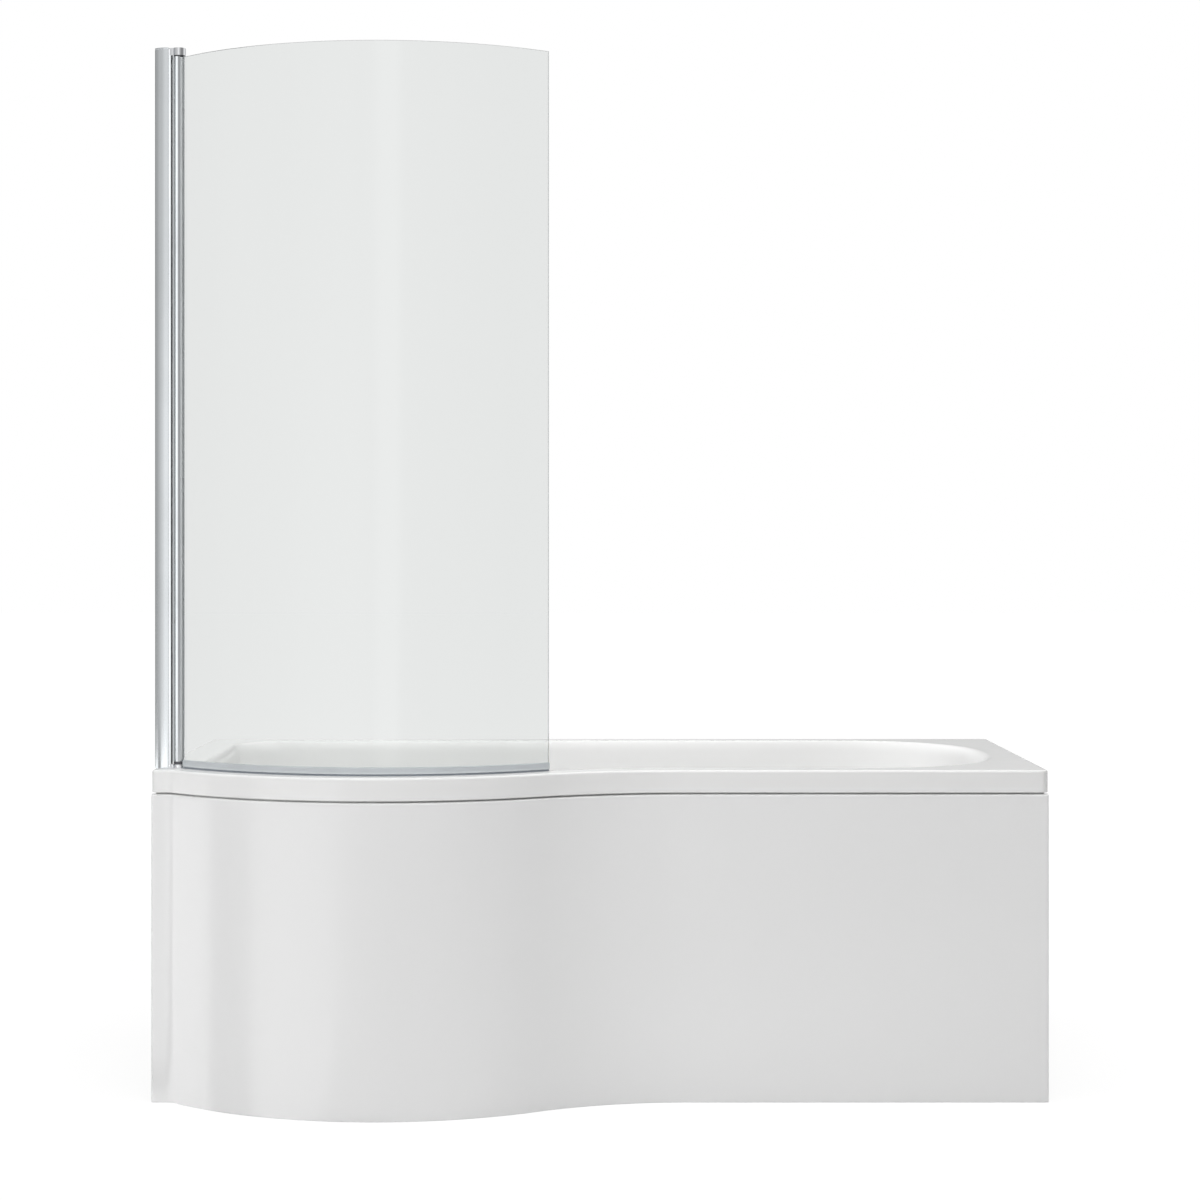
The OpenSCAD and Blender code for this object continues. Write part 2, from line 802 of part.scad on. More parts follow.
// Cup behind the wall with a tail that points down to the hose
module overflow_elbow() {
    color(plastic) difference() {
        union() {
            at_overflow() translate([0, 0, cup_z - 3]) cylinder(r = 33, h = 3);
            at_overflow() translate([0, 0, cup_z - 36]) cylinder(r = 22, h = 34);
            translate([hose_x, wy, hose_top - 12]) cylinder(r = tail_r, h = 42);
        }
        at_overflow() translate([0, 0, cup_z - 33]) cylinder(r = 19, h = 40);
        translate([hose_x, wy, hose_top - 13]) cylinder(r = tail_r - 2.5, h = 48);
    }
}

// Middle line of the hose: down, round the bend and along to the waste, by distance s
function hose_point(s) =
    let (
        drop = hose_top - inlet_z - hose_bend,
        turn = hose_bend * PI / 2,
        a = 90 * (s - drop) / turn
    )
    s < drop ? [hose_x, hose_top - s, 0] :
    s < drop + turn
        ? [hose_x + hose_bend * (1 - cos(a)), inlet_z + hose_bend * (1 - sin(a)), a]
        : [hose_x + hose_bend + s - drop - turn, inlet_z, 90];

// Ring of eight points square to the hose at the distance s
function hose_ring(s, r) =
    let (p = hose_point(s))
    [for (i = [0:7]) let (b = 45 * i + 22.5, u = r * cos(b))
        [p[0] + u * cos(p[2]), wy + r * sin(b), p[1] + u * sin(p[2])]];

module overflow_hose() {
    total = hose_top - inlet_z - hose_bend + hose_bend * PI / 2 + hose_end - hose_x - hose_bend;
    ribs = floor(total / rib_pitch);
    pitch = total / ribs;
    bore = 22;
    color(plastic) loop_loft(concat(
        [for (i = [0:ribs - 1], t = [0, 1]) hose_ring((i + 0.1 + t * 0.5) * pitch,
            t == 0 ? hose_r : hose_r - 1.8)],
        [hose_ring(total, hose_r - 1.8)],
        [for (i = [bore:-1:0]) hose_ring(total * i / bore, 11.6)]
    ));
}

module hose_nut_top() {
    color(plastic) translate([hose_x, wy, hose_top]) ring(17, tail_r, 12);
}

module hose_nut_low() {
    color(plastic) translate([hose_end, wy, inlet_z]) rotate([0, 90, 0]) ring(17, tail_r, 12);
}

module waste_plug() {
    color(chrome) translate([wx, wy, plug_z]) rotate_extrude() polygon([
        [0, 0], [29, 0], [30, 1], [29.6, 2], [27, 3.2], [20, 4.4], [10, 5.1], [0, 5.3]
    ]);
}

module plug_stem() {
    color(chrome) translate([wx, wy, 0]) union() {
        translate([0, 0, body_top - 34]) cylinder(r = stem_r, h = plug_z - body_top + 34);
    }
}

module plug_seal() {
    color(rubber) translate([wx, wy, plug_z - 1.5]) ring(27, stem_r, 1.5);
}

// Outline of the wall channel with its rounded front, set in by d, from x0 to x1
module channel_outline(d, x0, x1) {
    intersection() {
        translate([x0, channel_y0 + d]) square([x1 - x0, channel_d - 2 * d]);
        translate([channel_cx, channel_cy]) circle(r = channel_r - d);
    }
}

module wall_channel() {
    color(chrome) difference() {
        translate([0, 0, rim_h]) linear_extrude(screen_top - cap_t - rim_h) difference() {
            channel_outline(0, x_head, x_head + channel_w);
            channel_outline(channel_t, x_head + channel_t, x_head + channel_w + 5);
        }
        for (z = hole_zs)
            translate([x_head - 1, channel_y, z]) rotate([0, 90, 0]) cylinder(r = wall_hole, h = 5);
        fixing_places() translate([0, 0, -1]) cylinder(r = screw_r, h = 4);
    }
}

// Local frames of the side screws: +Z runs out of the channel, away from the front
module fixing_places() {
    for (z = fix_zs)
        translate([x_head + 15, channel_y0 + channel_d - channel_t, z])
            rotate([-90, 0, 0]) children();
}

module channel_cap() {
    color(chrome) translate([0, 0, screen_top - cap_t]) linear_extrude(cap_t)
        channel_outline(0, x_head, x_head + channel_w);
}

// Profile that slides in the wall channel, open towards the wall, and carries the hinge blocks
module adjust_profile() {
    gap = channel_t + 0.5;
    z0 = rim_h + block_low;
    color(chrome) difference() {
        translate([0, 0, z0]) linear_extrude(screen_top - block_top - z0) difference() {
            channel_outline(gap, x_head + profile_start, profile_x);
            channel_outline(gap + profile_t, x_head, profile_x - profile_t);
        }
        fixing_places() translate([0, 0, -6]) cylinder(r = screw_r, h = 8);
    }
}

module fixing_screws() {
    color(chrome) fixing_places() {
        translate([0, 0, channel_t]) cylinder(r = 4, h = 2);
        translate([0, 0, -5]) cylinder(r = screw_r, h = channel_t + 5.5);
    }
}

// Plate in the channel and a round hinge seat beside it
module hinge_block(h) {
    linear_extrude(h) channel_outline(channel_t + 0.5, x_head + channel_t + 0.5, profile_x);
    translate([profile_x - 3, hinge_py - 6, 0]) cube([hinge_px - profile_x + 3, 12, h]);
    translate([hinge_px, hinge_py, 0]) cylinder(r = tube_r, h = h);
}

module hinge_block_low() {
    color(chrome) union() {
        translate([0, 0, rim_h]) hinge_block(block_low);
        translate([hinge_px, hinge_py, rim_h]) cylinder(r = pin_r, h = block_low + 22);
    }
}

module hinge_block_top() {
    h = block_top - cap_t;
    color(chrome) union() {
        translate([0, 0, screen_top - block_top]) hinge_block(h);
        translate([hinge_px, hinge_py, screen_top - block_top]) cylinder(r = tube_r, h = block_top);
        translate([hinge_px, hinge_py, screen_top - block_top - 24]) cylinder(r = pin_r, h = 30);
    }
}

// Soft strip that closes the gap between the profile and the hinge tube
module gap_seal() {
    z0 = rim_h + block_low + 1;
    color(rubber) translate([profile_x, hinge_py - 2, z0])
        cube([hinge_px - tube_r - 0.3 - profile_x, 4, screen_top - block_top - 1 - z0]);
}

// Sector of a ring round the centre of the glass, between two angles and two heights
module glass_sector(r0, r1, a0, a1, z0, z1) {
    translate([glass_cx, glass_cy, z0]) rotate([0, 0, a0])
        rotate_extrude(angle = a1 - a0) translate([r0, 0]) square([r1 - r0, z1 - z0]);
}

// Angle on the glass at a distance from the hinge axis
function glass_angle(d) = a_hinge + d * deg_per_mm;

module hinge_tube() {
    half = glass_t / 2 + gasket_t;
    color(chrome) difference() {
        translate([hinge_px, hinge_py, tube_z]) cylinder(r = tube_r, h = tube_top - tube_z);
        translate([hinge_px, hinge_py, tube_z - 1]) cylinder(r = bush_r, h = tube_top - tube_z + 2);
        glass_sector(
            glass_r - half, glass_r + half, glass_angle(slot_start), glass_angle(tube_r + 6),
            tube_z - 1, tube_top + 1
        );
    }
}

module hinge_bush_low() {
    z0 = rim_h + block_low + 0.4;
    color(plastic) translate([hinge_px, hinge_py, 0]) difference() {
        union() {
            translate([0, 0, z0]) cylinder(r = tube_r - 1.5, h = tube_z - z0);
            translate([0, 0, tube_z - 1]) cylinder(r = bush_r, h = 20);
        }
        translate([0, 0, z0 - 1]) cylinder(r = bush_bore, h = 40);
    }
}

module hinge_bush_top() {
    z1 = screen_top - block_top - 0.4;
    color(plastic) translate([hinge_px, hinge_py, 0]) difference() {
        union() {
            translate([0, 0, tube_top]) cylinder(r = tube_r - 1.5, h = z1 - tube_top);
            translate([0, 0, tube_top - 24]) cylinder(r = bush_r, h = 25);
        }
        translate([0, 0, tube_top - 25]) cylinder(r = bush_bore, h = 40);
    }
}

module glass_gasket() {
    half = glass_t / 2;
    outer = half + gasket_t;
    color([0.85, 0.87, 0.88]) difference() {
        glass_sector(
            glass_r - outer, glass_r + outer, glass_angle(slot_start), glass_angle(tube_r + 2),
            tube_z + 5, glass_top
        );
        glass_sector(
            glass_r - half, glass_r + half, glass_angle(glass_start), glass_angle(tube_r + 9),
            tube_z, glass_top + 1
        );
    }
}

// Curved pane, with a notch at its low corner for the hinge block
module glass_pane() {
    half = glass_t / 2;
    color([0.8, 0.92, 0.9, 0.35]) difference() {
        glass_sector(
            glass_r - half, glass_r + half, glass_angle(glass_start), a_free, glass_z, glass_top
        );
        glass_sector(
            glass_r - half - 1, glass_r + half + 1, glass_angle(2), glass_angle(tube_r + 3),
            glass_z - 1, tube_z + 5
        );
    }
}

// Clear clip that grips the lower edge of the glass
module seal_clip() {
    half = glass_t / 2;
    outer = half + 1.5;
    z0 = seal_z + lip_seal_h;
    color([0.7, 0.75, 0.8]) difference() {
        glass_sector(
            glass_r - outer, glass_r + outer, glass_angle(tube_r + 4), a_free, z0, seal_z + seal_h
        );
        glass_sector(
            glass_r - half, glass_r + half, glass_angle(tube_r - 4), a_free + 1, glass_z,
            seal_z + seal_h + 1
        );
    }
}

// Soft drip lip under the clip
module seal_lip() {
    color(rubber) glass_sector(
        glass_r - 3, glass_r + 4, glass_angle(tube_r + 4), a_free, seal_z, seal_z + lip_seal_h
    );
}

bath_shell();
base_board();
batten_back();
batten_front();
batten_foot();
batten_head();
leg_bar_foot();
leg_bar_mid();
leg_bar_head();
leg_studs_foot();
leg_studs_mid();
leg_studs_head();
leg_nuts_foot();
leg_nuts_mid();
leg_nuts_head();
leg_pads_foot();
leg_pads_mid();
leg_pads_head();
leg_screws();
wall_bracket_1();
wall_bracket_2();
wall_bracket_3();
bracket_screws();
front_panel();
panel_clips();
floor_batten();
waste_flange();
waste_gasket();
waste_washer();
waste_body();
overflow_cover();
overflow_gasket();
overflow_elbow();
overflow_washer();
overflow_hose();
hose_nut_top();
hose_nut_low();
waste_plug();
plug_stem();
plug_seal();
wall_channel();
channel_cap();
adjust_profile();
fixing_screws();
hinge_block_top();
hinge_block_low();
gap_seal();
hinge_tube();
hinge_bush_top();
hinge_bush_low();
glass_gasket();
glass_pane();
seal_clip();
seal_lip();
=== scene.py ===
import logging
import math
from dataclasses import dataclass
from enum import Enum
from functools import cached_property
from typing import Callable, NamedTuple, Sequence, Union

import bmesh
import bpy
from mathutils import Matrix, Vector


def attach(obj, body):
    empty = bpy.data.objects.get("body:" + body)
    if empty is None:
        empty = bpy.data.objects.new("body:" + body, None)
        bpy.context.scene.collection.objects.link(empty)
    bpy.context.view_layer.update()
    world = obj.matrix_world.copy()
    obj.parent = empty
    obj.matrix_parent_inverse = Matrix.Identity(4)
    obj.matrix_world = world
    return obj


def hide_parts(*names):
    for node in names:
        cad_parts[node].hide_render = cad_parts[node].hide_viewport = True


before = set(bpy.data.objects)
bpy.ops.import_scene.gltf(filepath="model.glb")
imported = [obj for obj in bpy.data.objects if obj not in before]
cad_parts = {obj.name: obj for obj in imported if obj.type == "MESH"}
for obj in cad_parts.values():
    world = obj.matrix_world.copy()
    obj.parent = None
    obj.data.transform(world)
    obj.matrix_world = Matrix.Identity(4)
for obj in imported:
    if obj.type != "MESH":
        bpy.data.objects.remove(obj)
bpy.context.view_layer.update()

MM = 0.001
WELD = 1e-6

logging.basicConfig(level=logging.INFO, format="%(name)s: %(message)s")
log = logging.getLogger("shower_bath")

Point = tuple[float, float, float]
Pair = tuple[float, float]
Colour = tuple[float, float, float]


# --- Shader maths ---

def maths(operation: str, turned: bool = False) -> Callable[["Signal", "Operand"], "Signal"]:
    """Make an operator that adds a Math node.

    Args:
        operation: The node's operation.
        turned: Whether the other operand comes first.

    Returns:
        The method.
    """
    def method(self: "Signal", other: "Operand") -> "Signal":
        """The operation on this signal and another operand."""
        pair = (other, self) if turned else (self, other)
        return self.shader.node("Math", dict(enumerate(pair)), {"operation": operation})

    return method


class Signal:
    """A socket of a node tree that takes part in Python arithmetic."""

    def __init__(self, shader: "Shader", socket: bpy.types.NodeSocket) -> None:
        """Wrap an output socket of a shader."""
        self.shader, self.socket = shader, socket

    __add__, __radd__ = maths("ADD"), maths("ADD", True)
    __sub__, __rsub__ = maths("SUBTRACT"), maths("SUBTRACT", True)
    __mul__, __rmul__ = maths("MULTIPLY"), maths("MULTIPLY", True)
    larger = maths("MAXIMUM")
    heading = maths("ARCTAN2")

    def rise(self, low: float, high: float) -> "Signal":
        """A smooth step from 0 at low to 1 at high."""
        values = {"Value": self, "From Min": low, "From Max": high}
        return self.shader.node("MapRange", values, {"interpolation_type": "SMOOTHSTEP"})


Operand = Union[float, Signal, Sequence[float]]
Values = dict[Union[str, int], Operand]


class Shader:
    """One material or world while its nodes are being wired."""

    def __init__(self, block: Union[bpy.types.Material, bpy.types.World]) -> None:
        """Empty the block's node tree.

        Args:
            block: A material or a world.
        """
        self.block = block
        block.use_nodes = True
        self.tree = block.node_tree
        self.tree.nodes.clear()

    @classmethod
    def named(cls, name: str) -> "Shader":
        """A shader for a new material of that name."""
        return cls(bpy.data.materials.new(name))

    def node(
        self, kind: str, values: Values | None = None,
        settings: dict[str, object] | None = None, output: Union[str, int] = 0,
    ) -> Signal:
        """Add any node.

        Args:
            kind: The node's type, without its ShaderNode prefix.
            values: Numbers, colours or signals for its inputs, by name or place.
            settings: Its properties, which are set first. A ramp's stops are pairs of
                place and grey.
            output: The output that is wanted, by name or place.

        Returns:
            That output.
        """
        made = self.tree.nodes.new("ShaderNode" + kind)
        for name, value in (settings or {}).items():
            if name == "stops":
                self.set_stops(made.color_ramp.elements, value)
            else:
                setattr(made, name, value)
        for key, value in (values or {}).items():
            socket = made.inputs[key]
            if isinstance(value, Signal):
                self.tree.links.new(value.socket, socket)
            else:
                socket.default_value = (*value, 1.0) if socket.type == "RGBA" else value
        return Signal(self, made.outputs[output] if made.outputs else None)

    @staticmethod
    def set_stops(elements: bpy.types.ColorRampElements, stops: Sequence[Pair]) -> None:
        """Give a new ramp grey stops.

        Args:
            elements: The ramp's two first elements.
            stops: Pairs of place and grey, in order.
        """
        elements.remove(elements[1])
        for index, (place, grey) in enumerate(stops):
            element = elements.new(place) if index else elements[0]
            element.position, element.color = place, (grey, grey, grey, 1.0)

    def vector(self, operation: str, *operands: Operand, output: Union[str, int] = 0) -> Signal:
        """A Vector Math node on one operand or two."""
        return self.node("VectorMath", dict(enumerate(operands)), {"operation": operation}, output)

    def place(self, stretch: Point | None = None) -> Signal:
        """Object coordinates, stretched along each axis if a stretch is given."""
        where = self.node("TexCoord", output="Object")
        return self.vector("MULTIPLY", where, stretch) if stretch else where

    def noise(
        self, scale: float, detail: float = 2.0, rough: float = 0.5, stretch: Point | None = None
    ) -> Signal:
        """Noise from 0 to 1, with its cells to the metre, octaves and the finer ones' strength."""
        values = {"Scale": scale, "Detail": detail, "Roughness": rough}
        return self.node("TexNoise", {"Vector": self.place(stretch), **values})

    def cells(self, scale: float, stretch: Point | None = None) -> Signal:
        """Cells, so many to the metre, each with its own number from 0 to 1."""
        values = {"Vector": self.place(stretch), "Scale": scale}
        return self.grey(self.node("TexVoronoi", values, output="Color"))

    def grey(self, colour: Signal) -> Signal:
        """The first channel of a colour."""
        return self.node("SeparateColor", {0: colour})

    def blend(self, first: Operand, second: Operand, share: Signal) -> Signal:
        """The first colour where the share is 0, and the second where it is 1."""
        return self.node("Mix", {0: share, 6: first, 7: second}, {"data_type": "RGBA"}, 2)

    def fade(self, colour: Colour, least: float, share: Signal) -> Signal:
        """A colour that darkens to its least part where the share is 1."""
        return self.blend(colour, tuple(c * least for c in colour), share)

    def bump(self, height: Signal, distance: float) -> Signal:
        """A bumped normal, from a height of 0 to 1 that stands for a distance in metres."""
        return self.node("Bump", {"Height": height, "Distance": distance, "Strength": 1.0})

    def surface(self, sockets: Values) -> bpy.types.Material:
        """Finish a material with a Principled surface."""
        self.node("OutputMaterial", {"Surface": self.node("BsdfPrincipled", sockets)})
        return self.block


# --- Finishes ---

class Grain(Enum):
    """The way a piece of timber's grain runs, as the stretch of its pattern."""

    ALONG_X = (2.2, 46.0, 46.0)
    ALONG_Y = (46.0, 2.2, 46.0)


@dataclass(frozen=True)
class Finish:
    """What every finish has: a material's name and the record's slot."""

    name: str
    slot: str


@dataclass(frozen=True)
class GlossAcrylic(Finish):
    """Cast white acrylic, with resin and chopped fibre on the side marked as backing.

    A mark of 1 stands for the backing, 0 for the outer face and -1 for the inside of the bath,
    where the colour is darkened as painted shade deep in the basin.
    """

    colour: Colour
    fibre: Colour = (0.70, 0.69, 0.62)
    roughness: float = 0.13
    # painted shade: the share of the colour that is kept deep inside the basin
    inside: float = 0.955

    def paint(self) -> bpy.types.Material:
        """Wire the finish.

        Returns:
            Its material.
        """
        s = Shader.named(self.name)
        side = s.node("Attribute", None, {"attribute_name": "backing"}, "Fac")
        # The positive part of the mark is the fibre backing; the negative part is painted shade
        # inside the basin.
        back, basin_painted_shade = side.larger(0.0), (0.0 - side).larger(0.0)
        face = s.fade(self.colour, 0.985, s.noise(1.6, 1.0))
        # painted shade: the colour darkens towards its inside share deep in the basin
        face = s.blend(face, tuple(c * self.inside for c in self.colour), basin_painted_shade)
        strands = s.noise(70.0, 6.0, 0.7, (1.0, 1.6, 0.8)).rise(0.32, 0.68)
        rough = s.noise(55.0, 5.0, 0.75) * back * 14.0 + s.noise(26.0, 1.0) * (1.0 - back)
        return s.surface({
            "Base Color": s.blend(face, s.fade(self.fibre, 0.74, strands), back),
            "Roughness": self.roughness + 0.05 * s.noise(7.0, 3.0) + 0.42 * back,
            "IOR": 1.49,
            "Normal": s.bump(rough, 0.00006),
        })


@dataclass(frozen=True)
class SawnTimber(Finish):
    """Planed softwood with long grain and pores."""

    grain: Grain
    light: Colour = (0.62, 0.43, 0.24)
    dark: Colour = (0.42, 0.25, 0.12)

    def paint(self) -> bpy.types.Material:
        """Wire the finish.

        Returns:
            Its material.
        """
        s = Shader.named(self.name)
        bands = s.noise(1.4, 3.0, 0.55, self.grain.value) * 34.0
        rings = s.node("Math", {0: bands}, {"operation": "SINE"}) * 0.5 + 0.5
        fine = s.noise(7.0, 6.0, 0.7, self.grain.value)
        share = rings * 0.55 + fine.rise(0.35, 0.7) * 0.45
        return s.surface({
            "Base Color": s.blend(self.light, self.dark, share),
            "Roughness": 0.62 + 0.16 * fine,
            "Normal": s.bump(fine + rings * 0.4, 0.00022),
        })


@dataclass(frozen=True)
class Chipboard(Finish):
    """Pressed wood flakes in several browns."""

    pale: Colour = (0.58, 0.43, 0.26)
    dark: Colour = (0.34, 0.22, 0.12)

    def paint(self) -> bpy.types.Material:
        """Wire the finish.

        Returns:
            Its material.
        """
        s = Shader.named(self.name)
        flakes = s.cells(150.0, (1.0, 1.7, 2.6))
        chips = s.cells(310.0, (1.5, 1.0, 2.6))
        dust = s.noise(900.0)
        share = flakes * 0.5 + chips * 0.32 + dust * 0.18
        return s.surface({
            "Base Color": s.blend(self.pale, self.dark, share),
            "Roughness": 0.74 + 0.1 * dust,
            "Normal": s.bump(flakes + dust, 0.00012),
        })


@dataclass(frozen=True)
class ZincPlate(Finish):
    """Bright zinc plating with a faint crystal pattern and rolling marks."""

    colour: Colour = (0.60, 0.62, 0.65)

    def paint(self) -> bpy.types.Material:
        """Wire the finish.

        Returns:
            Its material.
        """
        s = Shader.named(self.name)
        crystal, cloud = s.cells(260.0), s.noise(38.0, 4.0, 0.6)
        return s.surface({
            "Base Color": s.fade(self.colour, 0.8, crystal * 0.4 + cloud * 0.6),
            "Metallic": 1.0,
            "Roughness": 0.26 + 0.16 * cloud + 0.05 * crystal,
            "Normal": s.bump(s.noise(420.0, stretch=(1.0, 0.05, 1.0)), 0.00003),
        })


@dataclass(frozen=True)
class PolishedMetal(Finish):
    """Polished or plated metal with faint drawing lines and finger marks."""

    colour: Colour
    roughness: float
    lines: Point = (60.0, 60.0, 60.0)
    depth: float = 0.000002

    def paint(self) -> bpy.types.Material:
        """Wire the finish.

        Returns:
            Its material.
        """
        s = Shader.named(self.name)
        drawn = s.noise(12.0, 3.0, 0.6, self.lines)
        haze = s.noise(9.0, 4.0, 0.6).rise(0.35, 0.75)
        return s.surface({
            "Base Color": s.fade(self.colour, 0.95, haze),
            "Metallic": 1.0,
            "Roughness": self.roughness + 0.05 * haze + 0.03 * drawn,
            "Normal": s.bump(drawn, self.depth),
        })


@dataclass(frozen=True)
class MouldedPlastic(Finish):
    """Moulded plastic or rubber with a fine spark-eroded grain."""

    colour: Colour
    roughness: float
    grain: float = 0.00003
    see_through: float = 0.0

    def paint(self) -> bpy.types.Material:
        """Wire the finish.

        Returns:
            Its material.
        """
        s = Shader.named(self.name)
        flow = s.noise(14.0, 3.0)
        return s.surface({
            "Base Color": s.fade(self.colour, 0.84, flow),
            "Roughness": self.roughness + 0.12 * flow,
            "IOR": 1.5,
            "Transmission Weight": self.see_through,
            "Normal": s.bump(s.noise(1500.0, 2.0, 0.6), self.grain),
        })


@dataclass(frozen=True)
class ToughenedGlass(Finish):
    """Clear toughened glass with a faint green body and a hardly seen roller wave."""

    tint: Colour = (0.917, 0.933, 0.925)

    def paint(self) -> bpy.types.Material:
        """Wire the finish.

        Returns:
            Its material.
        """
        s = Shader.named(self.name)
        film = s.noise(3.0, 3.0, stretch=(2.4, 2.4, 0.25))
        return s.surface({
            "Base Color": s.fade(self.tint, 0.985, film),
            "Roughness": 0.012 * film,
            "IOR": 1.5,
            "Transmission Weight": 1.0,
            "Normal": s.bump(s.noise(5.0, 1.0, stretch=(1.0, 1.0, 0.35)), 0.00002),
        })


class Coat(Enum):
    """Every finish on the part, painted when it is first used."""

    BATH = GlossAcrylic("bath_acrylic", "acrylic", (0.87, 0.87, 0.865))
    PANEL = GlossAcrylic("panel_acrylic", "panel_acrylic", (0.86, 0.86, 0.86), (0.74, 0.74, 0.72))
    TIMBER_ALONG = SawnTimber("timber_along", "timber", Grain.ALONG_X)
    TIMBER_ACROSS = SawnTimber("timber_across", "timber", Grain.ALONG_Y)
    CHIPBOARD = Chipboard("chipboard", "timber")
    ZINC = ZincPlate("zinc_plate", "zinc_steel")
    CHROME = PolishedMetal("chrome", "chrome_trim", (0.84, 0.85, 0.87), 0.04)
    PROFILE = PolishedMetal(
        "silver_profile", "polished_profile", (0.80, 0.83, 0.85), 0.10, (90.0, 90.0, 0.5), 0.000006
    )
    BLACK = MouldedPlastic("black_plastic", "black_plastic", (0.035, 0.035, 0.038), 0.36)
    PAD = MouldedPlastic("pad_plastic", "pad_plastic", (0.06, 0.06, 0.063), 0.48, 0.00006)
    BUSH = MouldedPlastic("hinge_plastic", "hinge_plastic", (0.10, 0.10, 0.11), 0.40)
    RUBBER = MouldedPlastic("black_rubber", "black_rubber", (0.028, 0.028, 0.030), 0.62, 0.00005)
    LIP = MouldedPlastic("lip_rubber", "seal_lip_rubber", (0.30, 0.33, 0.37), 0.34)
    GASKET = MouldedPlastic(
        "glazing_gasket", "grey_gasket", (0.82, 0.85, 0.86), 0.30, 0.00001, 0.35
    )
    SEAL = MouldedPlastic("clear_seal", "clear_seal", (0.88, 0.92, 0.95), 0.16, 0.00001, 0.46)
    GLASS = ToughenedGlass("clear_glass", "clear_glass")

    @cached_property
    def material(self) -> bpy.types.Material:
        """The finish's material."""
        return self.value.paint()


# --- Pieces: how each is started, shaped and finished ---

class Piece:
    """One piece while it is being modelled. Its sizes are in millimetres."""

    FLAT_ANGLE = math.radians(0.6)
    SHARP_ANGLE = math.radians(34.0)
    NEAR = 0.3 * MM

    def __init__(self, thing: bpy.types.Object) -> None:
        """Take up an object."""
        self.thing = thing

    @classmethod
    def begin(
        cls, adder: Callable[..., set[str]], place: Point = (0, 0, 0), **sizes: object
    ) -> "Piece":
        """Add a primitive.

        Args:
            adder: The operator that adds it.
            place: Where it stands, in metres.
            sizes: The operator's other settings.

        Returns:
            The new piece, alone selected.
        """
        bpy.ops.object.select_all(action="DESELECT")
        adder(location=place, **sizes)
        return cls(bpy.context.object)

    @classmethod
    def of_mesh(cls, mesh: bpy.types.Mesh) -> "Piece":
        """Start from a copy of a mesh.

        Args:
            mesh: What is copied.

        Returns:
            The new piece.
        """
        thing = bpy.data.objects.new(mesh.name, mesh.copy())
        bpy.context.scene.collection.objects.link(thing)
        return cls(thing)

    @classmethod
    def line(cls, points: Sequence[Point], shut: bool = False) -> "Piece":
        """Start from a line of edges.

        Args:
            points: The line's points.
            shut: Whether the last point joins the first.

        Returns:
            The new piece, in edit mode with all of it selected.
        """
        count = len(points)
        piece = cls.begin(bpy.ops.mesh.primitive_circle_add, vertices=count, radius=1.0)
        mesh = piece.edit("EDGE")
        mesh.verts.ensure_lookup_table()
        for vert, point in zip(mesh.verts, points):
            vert.co = Vector(point) * MM
        if not shut:
            mesh.edges.remove(mesh.edges.get((mesh.verts[0], mesh.verts[-1])))
        bmesh.update_edit_mesh(piece.thing.data)
        return piece

    @classmethod
    def loft(
        cls, rings: Sequence[Sequence[Point]], closed: bool = False,
        marks: Sequence[Sequence[float]] = (),
    ) -> "Piece":
        """Extrude a ring of edges from ring to ring.

        Args:
            rings: Rings of points, each of the same count.
            closed: Whether the last ring joins the first; otherwise both ends get a face.
            marks: A mark for each point of each ring, for the backing and for painted shade.

        Returns:
            The new piece.
        """
        piece = cls.line(rings[0], True)
        data = piece.thing.data
        mesh = bmesh.from_edit_mesh(data)
        mesh.verts.layers.int.new("step")
        mesh.verts.layers.int.new("row")
        if marks:
            mesh.verts.layers.float.new("backing")
        step = mesh.verts.layers.int["step"]
        for index, vert in enumerate(mesh.verts):
            vert[step] = index
        for row, ring in enumerate([*rings, rings[0]] if closed else rings):
            if row:
                bpy.ops.mesh.extrude_edges_indiv()
            mesh = bmesh.from_edit_mesh(data)
            step, line = (mesh.verts.layers.int[layer] for layer in ("step", "row"))
            for vert in (vert for vert in mesh.verts if vert.select):
                vert.co = Vector(ring[vert[step]]) * MM
                vert[line] = row
                if marks:
                    vert[mesh.verts.layers.float["backing"]] = marks[row][vert[step]]
            bmesh.update_edit_mesh(data)
        if not closed:
            bpy.ops.mesh.edge_face_add()
            bpy.ops.mesh.select_all(action="DESELECT")
            mesh = bmesh.from_edit_mesh(data)
            line = mesh.verts.layers.int["row"]
            for edge in mesh.edges:
                edge.select_set(all(vert[line] == 0 for vert in edge.verts))
            bmesh.update_edit_mesh(data)
            bpy.ops.mesh.edge_face_add()
        piece.close()
        for layer in ("step", "row"):
            data.attributes.remove(data.attributes[layer])
        return piece

    @classmethod
    def lathe(cls, profile: Sequence[Pair], steps: int) -> "Piece":
        """Spin a profile about the Z axis.

        Args:
            profile: Points of radius and height, from the axis to the axis.
            steps: Steps in the full turn.

        Returns:
            The new piece.
        """
        piece = cls.line([(radius, 0.0, z) for radius, z in profile])
        bpy.ops.mesh.select_all(action="SELECT")
        bpy.ops.mesh.spin(steps=steps, angle=math.tau, center=(0, 0, 0), axis=(0, 0, 1))
        return piece.close()

    @classmethod
    def block(cls, low: Point, high: Point) -> "Piece":
        """Start from a box.

        Args:
            low: The lowest corner.
            high: The highest corner.

        Returns:
            The new piece.
        """
        middle = [(a + b) / 2 * MM for a, b in zip(low, high)]
        piece = cls.begin(bpy.ops.mesh.primitive_cube_add, middle, size=1.0)
        piece.thing.scale = [(b - a) * MM for a, b in zip(low, high)]
        return piece.settle()

